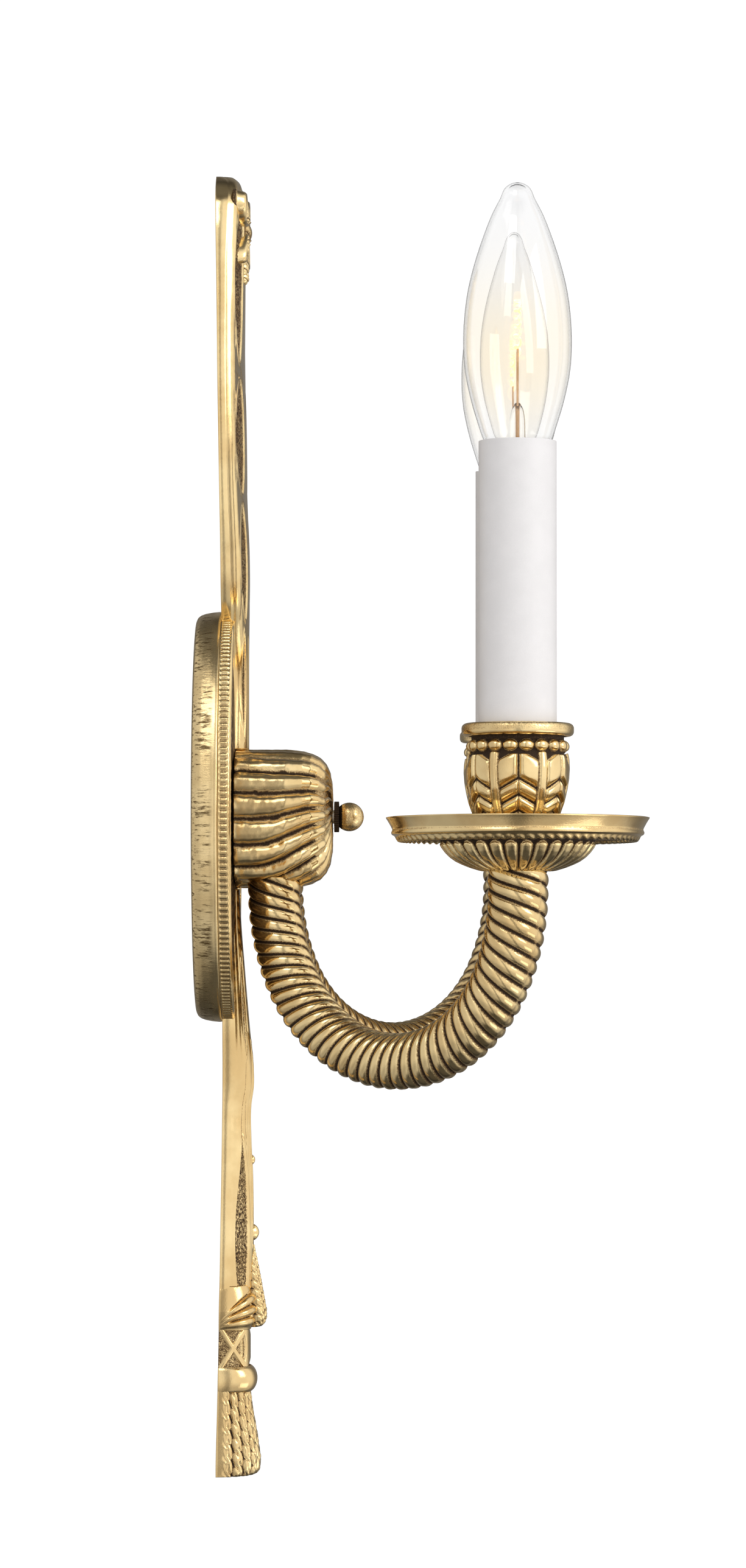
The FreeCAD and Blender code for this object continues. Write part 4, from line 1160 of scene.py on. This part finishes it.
# %% Drip pan flutes and pieces
pan_turn = np.arange(PAN_COLUMNS)[None] / PAN_COLUMNS
across_tongue = np.abs((PAN_FLUTES * pan_turn) % 1.0 - 0.5) * 2
tongue_top = BOWL_EDGE - 1.6 * (1 - np.sqrt(np.clip(1 - across_tongue ** 2, 0, 1)))
on_bowl = under * step_up(pan_r, 8.6, 10.5) * (1 - step_up(pan_r, 23.0, 23.6)) * (pan_z < -6.2)
past_top = step_up(pan_r, tongue_top - 0.5, tongue_top)
bowl_groove = np.maximum(grooves(PAN_FLUTES * pan_turn, 0.15), past_top)
bowl_round = 1 - across_tongue ** 2
on_cord = under * hump(pan_r, CORD_RADIUS, 1.3) * (pan_z < -5.9)
cord_groove = grooves(CORD_TWISTS * pan_turn + 0.35 * (pan_r - CORD_RADIUS), 0.24)
pan_swell = on_bowl * (0.35 * bowl_round - 0.85 * bowl_groove) - 0.75 * on_cord * cord_groove
lip_groove = under * hump(pan_z, -3.9, 0.35) * (pan_r > 36)
flat_ring = under * (pan_r > 23.2) * (pan_r < 32.8)
pan_relief = np.clip(0.97 - 0.95 * on_bowl * bowl_groove - 0.85 * on_cord * cord_groove
                     - 0.55 * lip_groove - 0.7 * flat_ring - (1 - under) * 0.25 * (pan_r < 30), 0, 1)
pan_grid = turned_grid(pan_line, PAN_COLUMNS, pan_swell, looped=True)
for word in SIDES:
    piece(f"fluted_pan_{word}", to_candle(pan_grid, word), pan_relief, cast_brass,
          [f"drip_pan_{word}"], joined=True)

# %% [markdown]
# ## The candle cups
# The cup is a bud of laurel leaves under a row of beads and a plain flange. Six upright stems divide
# it. Between two stems the leaves lie in tiers of roof-shaped pairs, the top tier tall and split.
# In each sixth of the turn, a leaf's edge runs where height plus slope times the distance from the
# middle is constant, so a band between two values of that sum draws a whole tier.

# %% Candle cup outline
STEMS = 6
CUP_BEADS = 18
CUP_COLUMNS = CUP_BEADS * 18
BEAD_HEIGHT = 20.5
BUD_TOP = 18.5
NECK_LOW, NECK_HIGH = 22.3, 23.4
TIERS = [(6.3, 10.6), (1.7, 5.9), (-2.8, 1.3), (-6.8, -3.2)]
cup_line = outline([(5.0, -13.8), (8.6, -13.2), (8.2, -11.0), (8.1, -9.0), (8.5, -6.0), (9.3, -3.5),
                    (10.5, -1.0), (11.8, 1.2), (13.0, 4.5), (13.8, 8.0), (14.3, 11.0), (14.5, 14.0),
                    (14.4, 16.5), (14.1, 18.2), (13.6, 18.9), (13.5, 20.5), (13.5, NECK_LOW),
                    (13.5, NECK_HIGH), (15.4, NECK_HIGH + 0.1), (16.1, 23.9), (16.4, 24.6),
                    (16.4, 26.2), (16.0, 26.9), (15.2, 27.3), (11.8, 27.3), (11.8, 8.8), (5.0, 8.8)],
                   0.25, 0.20, looped=True)
cup_line = thinned(cup_line, cup_line[:, 0] > 12.2, 1 + 5 * (cup_line[:, 1] > 2.0))
cup_r, cup_z = cup_line[:, :1], cup_line[:, 1:]
cup_turn = np.arange(CUP_COLUMNS)[None] / CUP_COLUMNS
outside = (np.arange(len(cup_line))[:, None] < np.argmax(cup_r)) * step_up(cup_z, -7.0, -4.0)
sixth = 2 * np.pi / STEMS
LEAF_SLOPE = 0.55
from_middle = np.abs((cup_turn * STEMS + 0.5) % 1.0 - 0.5) * sixth * cup_r
from_stem = 0.5 * sixth * cup_r - from_middle
level = cup_z + LEAF_SLOPE * from_middle
print("half of the space between two stems:", float((0.5 * sixth * cup_r).max().round(1)), "mm")


# %% Cup leaves and beads
def band(low, high):
    """1 along the middle of a roof-shaped band between two levels, falling steeply at both edges."""
    share = np.clip((level - low) / (high - low), 0, 1)
    return 1 - (2 * share - 1) ** 4


stem = np.sqrt(np.clip(1 - (from_stem / 1.5) ** 2, 0, 1)) * (cup_z < 18.4)
tall_leaf = np.clip(1 - (2 * np.clip((level - 11.0) / 8.6, 0, 1) - 1) ** 6, 0, 1) * (cup_z < 18.0)
tall_leaf = tall_leaf * (1 - hump(from_middle, 0, 0.55) * step_up(cup_z, 10.5, 11.5))
leaf = np.clip(np.maximum.reduce([tall_leaf] + [band(low, high) for low, high in TIERS]), 0, 1)
leaf = leaf * (1 - 0.8 * hump(from_middle, 0, 0.30)) * step_up(from_stem, 1.4, 2.0)
bead_x = ((cup_turn * CUP_BEADS) % 1.0 - 0.5) * 2 * np.pi / CUP_BEADS * cup_r
bead_ball = np.sqrt(np.clip(1 - ((cup_z - BEAD_HEIGHT) / 1.85) ** 2 - (bead_x / 2.3) ** 2, 0, 1))
bead_zone = outside * (cup_z > BUD_TOP) * (cup_z < NECK_LOW)
leaf_zone = outside * (cup_z < BUD_TOP)
leaf_push = np.maximum(1.3 * leaf - 0.65, 1.15 * stem - 0.45)
cup_swell = leaf_zone * leaf_push + bead_zone * (1.9 * bead_ball - 0.3)
print("leaves and beads stand out by up to", float(cup_swell.max().round(2)), "mm")

# %% Cup relief and pieces
leaf_shine = np.clip(0.02 + np.maximum(leaf ** 0.8, stem ** 1.5), 0, 1)
cup_relief = np.where(leaf_zone > 0, leaf_shine, 0.92)
cup_relief = np.where(bead_zone > 0, np.clip(0.02 + bead_ball * 1.1, 0, 1), cup_relief)
under_flange = (cup_z >= NECK_LOW) & (cup_z <= NECK_HIGH + 0.05) & (cup_r < 15.3) & (outside > 0)
cup_relief = np.where(under_flange, 0.06, cup_relief)
cup_relief = np.where(outside > 0, cup_relief, 0.55)
cup_grid = turned_grid(cup_line, CUP_COLUMNS, cup_swell, looped=True)
for word in SIDES:
    piece(f"leafy_cup_{word}", to_candle(cup_grid, word), cup_relief, cast_brass,
          [f"candle_cup_{word}"], joined=True)

# %% [markdown]
# ## Sleeves
# The candle sleeve is a thin white tube with a satin skin. Faint clouds and a very fine grain keep
# it from looking like a flat cut-out.

# %% Sleeves
white_sleeve = plain_finish("white_sleeve", (0.785, 0.776, 0.783), (0.755, 0.746, 0.753), 0.50,
                            grain_size=0.0004, bump=0.05)
SLEEVE_LOW, SLEEVE_HIGH = 9.0, 109.8
SLEEVE_IN, SLEEVE_OUT = 10.4, 11.4
LAMP_COLUMNS = 96
sleeve_line = outline([(SLEEVE_IN, SLEEVE_LOW), (SLEEVE_OUT, SLEEVE_LOW), (SLEEVE_OUT, SLEEVE_HIGH),
                       (SLEEVE_IN, SLEEVE_HIGH)], 0.12, 0.10, looped=True)
by_rim = np.minimum(sleeve_line[:, 1] - SLEEVE_LOW, SLEEVE_HIGH - sleeve_line[:, 1]) < 0.8
sleeve_grid = turned_grid(thinned(sleeve_line, by_rim, 30), LAMP_COLUMNS, looped=True)
for word in SIDES:
    piece(f"sleeve_{word}", to_candle(sleeve_grid, word), 1.0, white_sleeve, [f"candle_sleeve_{word}"],
          body=f"sleeve_{word}", joined=True)

# %% [markdown]
# ## Bulbs
# The bulb is blown from clear glass: a torpedo that is widest a third of the way up and drawn to a
# small tip. The skin goes from the tip down the outside to the neck and back up the inside, so it
# has a real wall. Inside stand a flared stem, two support wires and the glowing coil.

# %% Bulb glass
BULB_WALL = 0.7
BULB_OUTLINE = [(103.2, 5.7), (105.6, 7.2), (109.8, 9.9), (114.0, 11.3), (119.0, 12.9), (124.5, 14.3),
                (130.0, 15.35), (138.5, 15.9), (146.0, 15.6), (153.8, 14.6), (161.0, 12.9), (167.1, 11.0),
                (172.4, 9.1), (177.7, 6.9), (181.5, 4.7)]
BULB_NECK = BULB_OUTLINE[0][0]
TIP_FOOT, TIP_RADIUS = BULB_OUTLINE[-1]
TIP_RISE = 4.3
COIL_HEIGHT = 140.0
glass_z = np.linspace(BULB_NECK, TIP_FOOT, 150)
glass_side = np.stack([through(glass_z, BULB_OUTLINE), glass_z], 1)
tip_turn = np.linspace(0, np.pi / 2 - 0.03304, 26)[1:]
tip = np.stack([TIP_RADIUS * np.cos(tip_turn), TIP_FOOT + TIP_RISE * np.sin(tip_turn)], 1)
outer_glass = soften(np.concatenate([glass_side, tip]), 3.0)
inner_glass = outer_glass - side_normals(outer_glass) * BULB_WALL
inner_glass[:, 0] = np.maximum(inner_glass[:, 0], 0.05)
glass_line = np.concatenate([outer_glass[::-1], inner_glass])
print("the bulb is", 2 * float(outer_glass[:, 0].max().round(2)), "mm across at its widest")


# %% Clear glass
def clear_glass():
    """Thin clear glass with painted grey shade where it turns away and painted warm light from the coil
    beside it, faintly wavy.
    """
    finish = Finish("clear_glass")
    waves = finish.noise(0.012, detail=1.0)
    # Painted edge shade: the glass's colour goes grey where the surface turns side-on to the view.
    painted_edge_shade = finish.node("ShaderNodeLayerWeight", None, {"Blend": 0.5}).out("Facing")
    rim = painted_edge_shade ** 4 + (waves - 0.5) * 0.06
    # Painted light: here the stored relief is the coil's warm glow, painted into the glass's colour.
    body = finish.blend(finish.stored_relief(), (0.950, 0.952, 0.955, 1), (0.985, 0.955, 0.895, 1))
    return finish.surface({
        "Base Color": finish.blend(rim.ramp(0.04, 0.90), body, (0.42, 0.43, 0.44, 1)),
        "Roughness": 0.004 + waves * 0.004,
        "IOR": 1.48,
        "Transmission Weight": 1.0,
        "Normal": finish.bump(waves, 0.02, 0.0005),
    })


glass = clear_glass()
# Painted light from the coil: the glass's colour is warmest at the coil's height and fades away from it.
painted_coil_warmth = hump(glass_line[:, 1:], COIL_HEIGHT, 20.0)
glass_grid = turned_grid(glass_line, LAMP_COLUMNS)
for word in SIDES:
    piece(f"torpedo_glass_{word}", to_candle(glass_grid, word), painted_coil_warmth, glass, [f"bulb_glass_{word}"],
          body=f"bulb_{word}")


# %% Bulb insides
def tube_grid(path, radius, columns):
    """Rings of a radius round a 3-D line, square to it; one fixed side vector stops them twisting."""
    along = np.gradient(path, axis=0)
    along /= np.linalg.norm(along, axis=1, keepdims=True)
    first = np.cross(along, np.array([0.11, 0.97, 0.21]))
    first /= np.linalg.norm(first, axis=1, keepdims=True)
    second = np.cross(along, first)
    angle = 2 * np.pi * np.arange(columns) / columns
    cosine, sine = np.cos(angle)[None, :, None], np.sin(angle)[None, :, None]
    return path[:, None] + radius * (first[:, None] * cosine + second[:, None] * sine)


def glowing_coil():
    """A bright warm emission, a little uneven along the coil."""
    finish = Finish("glowing_coil")
    uneven = finish.noise(0.003)
    return finish.surface({
        "Base Color": (1.0, 0.75, 0.4, 1),
        "Roughness": 0.5,
        "Emission Color": finish.blend(uneven.ramp(0.3, 0.7), (1.0, 0.48, 0.15, 1), (1.0, 0.74, 0.42, 1)),
        "Emission Strength": 2.0,
    })


coil_light = glowing_coil()
support_metal = plain_finish("support_metal", (0.80, 0.52, 0.30), (0.60, 0.36, 0.18), 0.32, 1.0)
stem_line = outline([(0.05, 101.0), (4.4, 101.0), (4.2, 102.6), (2.9, 105.5), (2.4, 109.0), (2.3, 116.0),
                     (1.8, 119.0), (0.8, 121.0), (0.05, 121.3)], 0.2, 0.3)
SUPPORT_REACH = 4.2


def coil_path():
    """An arch between the supports with a fine winding round it."""
    t = np.linspace(0, np.pi, 700)
    wind, turns = 0.85, 30
    outward = wind * np.cos(turns * t)
    arch_x, arch_z = -SUPPORT_REACH * np.cos(t), 136.0 + 15.0 * np.sin(t)
    return np.stack([arch_x + outward * np.sin(t), wind * np.sin(turns * t),
                     arch_z + outward * np.cos(t)], 1)


print("the coil's wire is", round(float(travel(coil_path())[-1])), "mm long")

# %% Bulb pieces
for word in SIDES:
    body = f"bulb_{word}"
    # The glass stem's relief of 1 paints the coil's full warm light into its colour.
    piece(f"glass_stem_{word}", to_candle(turned_grid(stem_line, 48), word), 1.0, glass,
          [f"bulb_stem_{word}"], body)
    supports = []
    for x in (-1, 1):
        wire = outline([(x * 0.9, 0.0, 104.0), (x * 0.9, 0.0, 120.0), (x * SUPPORT_REACH, 0.0, 136.4)],
                       0.5, 1.0)
        supports.append((to_candle(tube_grid(wire, 0.32, 14), word), 1.0))
    piece(f"support_wires_{word}", supports, None, support_metal, [f"bulb_filament_{word}"],
          body)
    piece(f"filament_coil_{word}", to_candle(tube_grid(coil_path(), 0.30, 6), word), 1.0, coil_light,
          [f"bulb_filament_{word}"], body)

# %% [markdown]
# ## Studio
# The sconce hangs in a plain pale studio. A very large bowl-shaped backdrop is floor and wall in
# one. It lights itself evenly, so it stays pale from every side, and it is left out of reflections,
# because polished brass that mirrors nothing but white looks like paper. The brass reflects a
# separate sky instead, with dark places overhead, underfoot, around the lens and on the far side,
# and three large soft lights, which give it bright and dark bands.

# %% Backdrop
FLOOR_Z, FLOOR_RADIUS, CURVE_RADIUS, WALL_TOP = -1.2, 7.0, 2.0, 9.0
BACKDROP_COLUMNS = 128


def backdrop():
    """A floor disc that curves up into a tall round wall, turned from one profile, in metres."""
    t = np.linspace(0, np.pi / 2, 20)[1:]
    floor_r = np.linspace(0.05, FLOOR_RADIUS, 30)
    wall_z = np.linspace(FLOOR_Z + CURVE_RADIUS + 0.1, WALL_TOP, 20)
    r = np.concatenate([floor_r, FLOOR_RADIUS + CURVE_RADIUS * np.sin(t),
                        np.full(20, FLOOR_RADIUS + CURVE_RADIUS)])
    z = np.concatenate([np.full(30, FLOOR_Z), FLOOR_Z + CURVE_RADIUS * (1 - np.cos(t)), wall_z])
    grid = turned_grid(np.stack([r, z], 1), BACKDROP_COLUMNS)
    faces = ring_quads(len(r), BACKDROP_COLUMNS, joined=False)
    mesh = bpy.data.meshes.new("backdrop")
    mesh.from_pydata(grid.reshape(-1, 3).tolist(), [], faces.tolist())
    mesh.polygons.foreach_set("use_smooth", np.ones(len(mesh.polygons), dtype=bool))
    made = bpy.data.objects.new("backdrop", mesh)
    finish = Finish("backdrop_paper")
    paper = finish.noise(0.5, detail=2.0)
    mesh.materials.append(finish.surface({
        "Base Color": (0.10, 0.10, 0.10, 1),
        "Roughness": 0.9,
        "Emission Color": finish.blend(paper, (0.965, 0.965, 0.965, 1), (0.985, 0.985, 0.985, 1)),
        "Emission Strength": 1.0,
    }))
    bpy.context.scene.collection.objects.link(made)
    made.visible_glossy = made.visible_diffuse = made.visible_shadow = False


backdrop()
print("backdrop", 2 * (FLOOR_RADIUS + CURVE_RADIUS), "m across")


# %% Lights and sky
def soft_light(name, place, size, power):
    """A large square light that faces the sconce's middle and isn't seen itself."""
    data = bpy.data.lights.new(name, "AREA")
    data.shape = "RECTANGLE"
    data.size, data.size_y = size
    data.energy = power
    made = bpy.data.objects.new(name, data)
    made.location = place
    made.rotation_euler = Vector(place).to_track_quat("Z", "Y").to_euler()
    made.visible_camera = False
    bpy.context.scene.collection.objects.link(made)


def studio_sky():
    """Light told by its direction: bright at eye level, dark above, below, beyond and at the lens."""
    sky = Finish("sky", bpy.data.worlds.new("studio"))
    direction = sky.node("ShaderNodeTexCoord").out("Generated")
    parts = sky.node("ShaderNodeSeparateXYZ", None, {"Vector": direction})
    x, y, z = parts.out("X"), parts.out("Y"), parts.out("Z")
    steep = (z * z + x.ramp(0.0, 0.6) * 0.35).ramp(0.60, 0.92)
    at_lens = (1.0 - (y * y).ramp(0.0015, 0.026)) * (0.0 - x).ramp(0.0, 0.5)
    below = (0.0 - z).ramp(0.15, 0.65)
    behind_wall = y.ramp(0.10, 0.80)
    far_side = x.ramp(0.25, 0.80)
    shade = (1.0 - steep * 0.86) * (1.0 - at_lens * 0.58) * (1.0 - below * 0.40)
    strength = shade * (1.0 - behind_wall * 0.35) * (1.0 - far_side * 0.80) * 1.10
    background = sky.node("ShaderNodeBackground", None,
                          {"Color": (1.0, 0.98, 0.965, 1), "Strength": strength})
    sky.node("ShaderNodeOutputWorld", None, {"Surface": background.out("Background")})
    return sky.material


bpy.context.scene.world = studio_sky()
soft_light("key_front_left", (-1.2, -1.6, 0.9), (0.9, 1.4), 11.0)
soft_light("high_left", (-1.5, 0.5, 1.6), (0.9, 0.9), 6.0)
soft_light("low_front", (-0.6, -1.4, -1.0), (1.2, 0.6), 2.5)
bpy.context.scene.view_settings.view_transform = "Standard"
print("studio ready")

# %% [markdown]
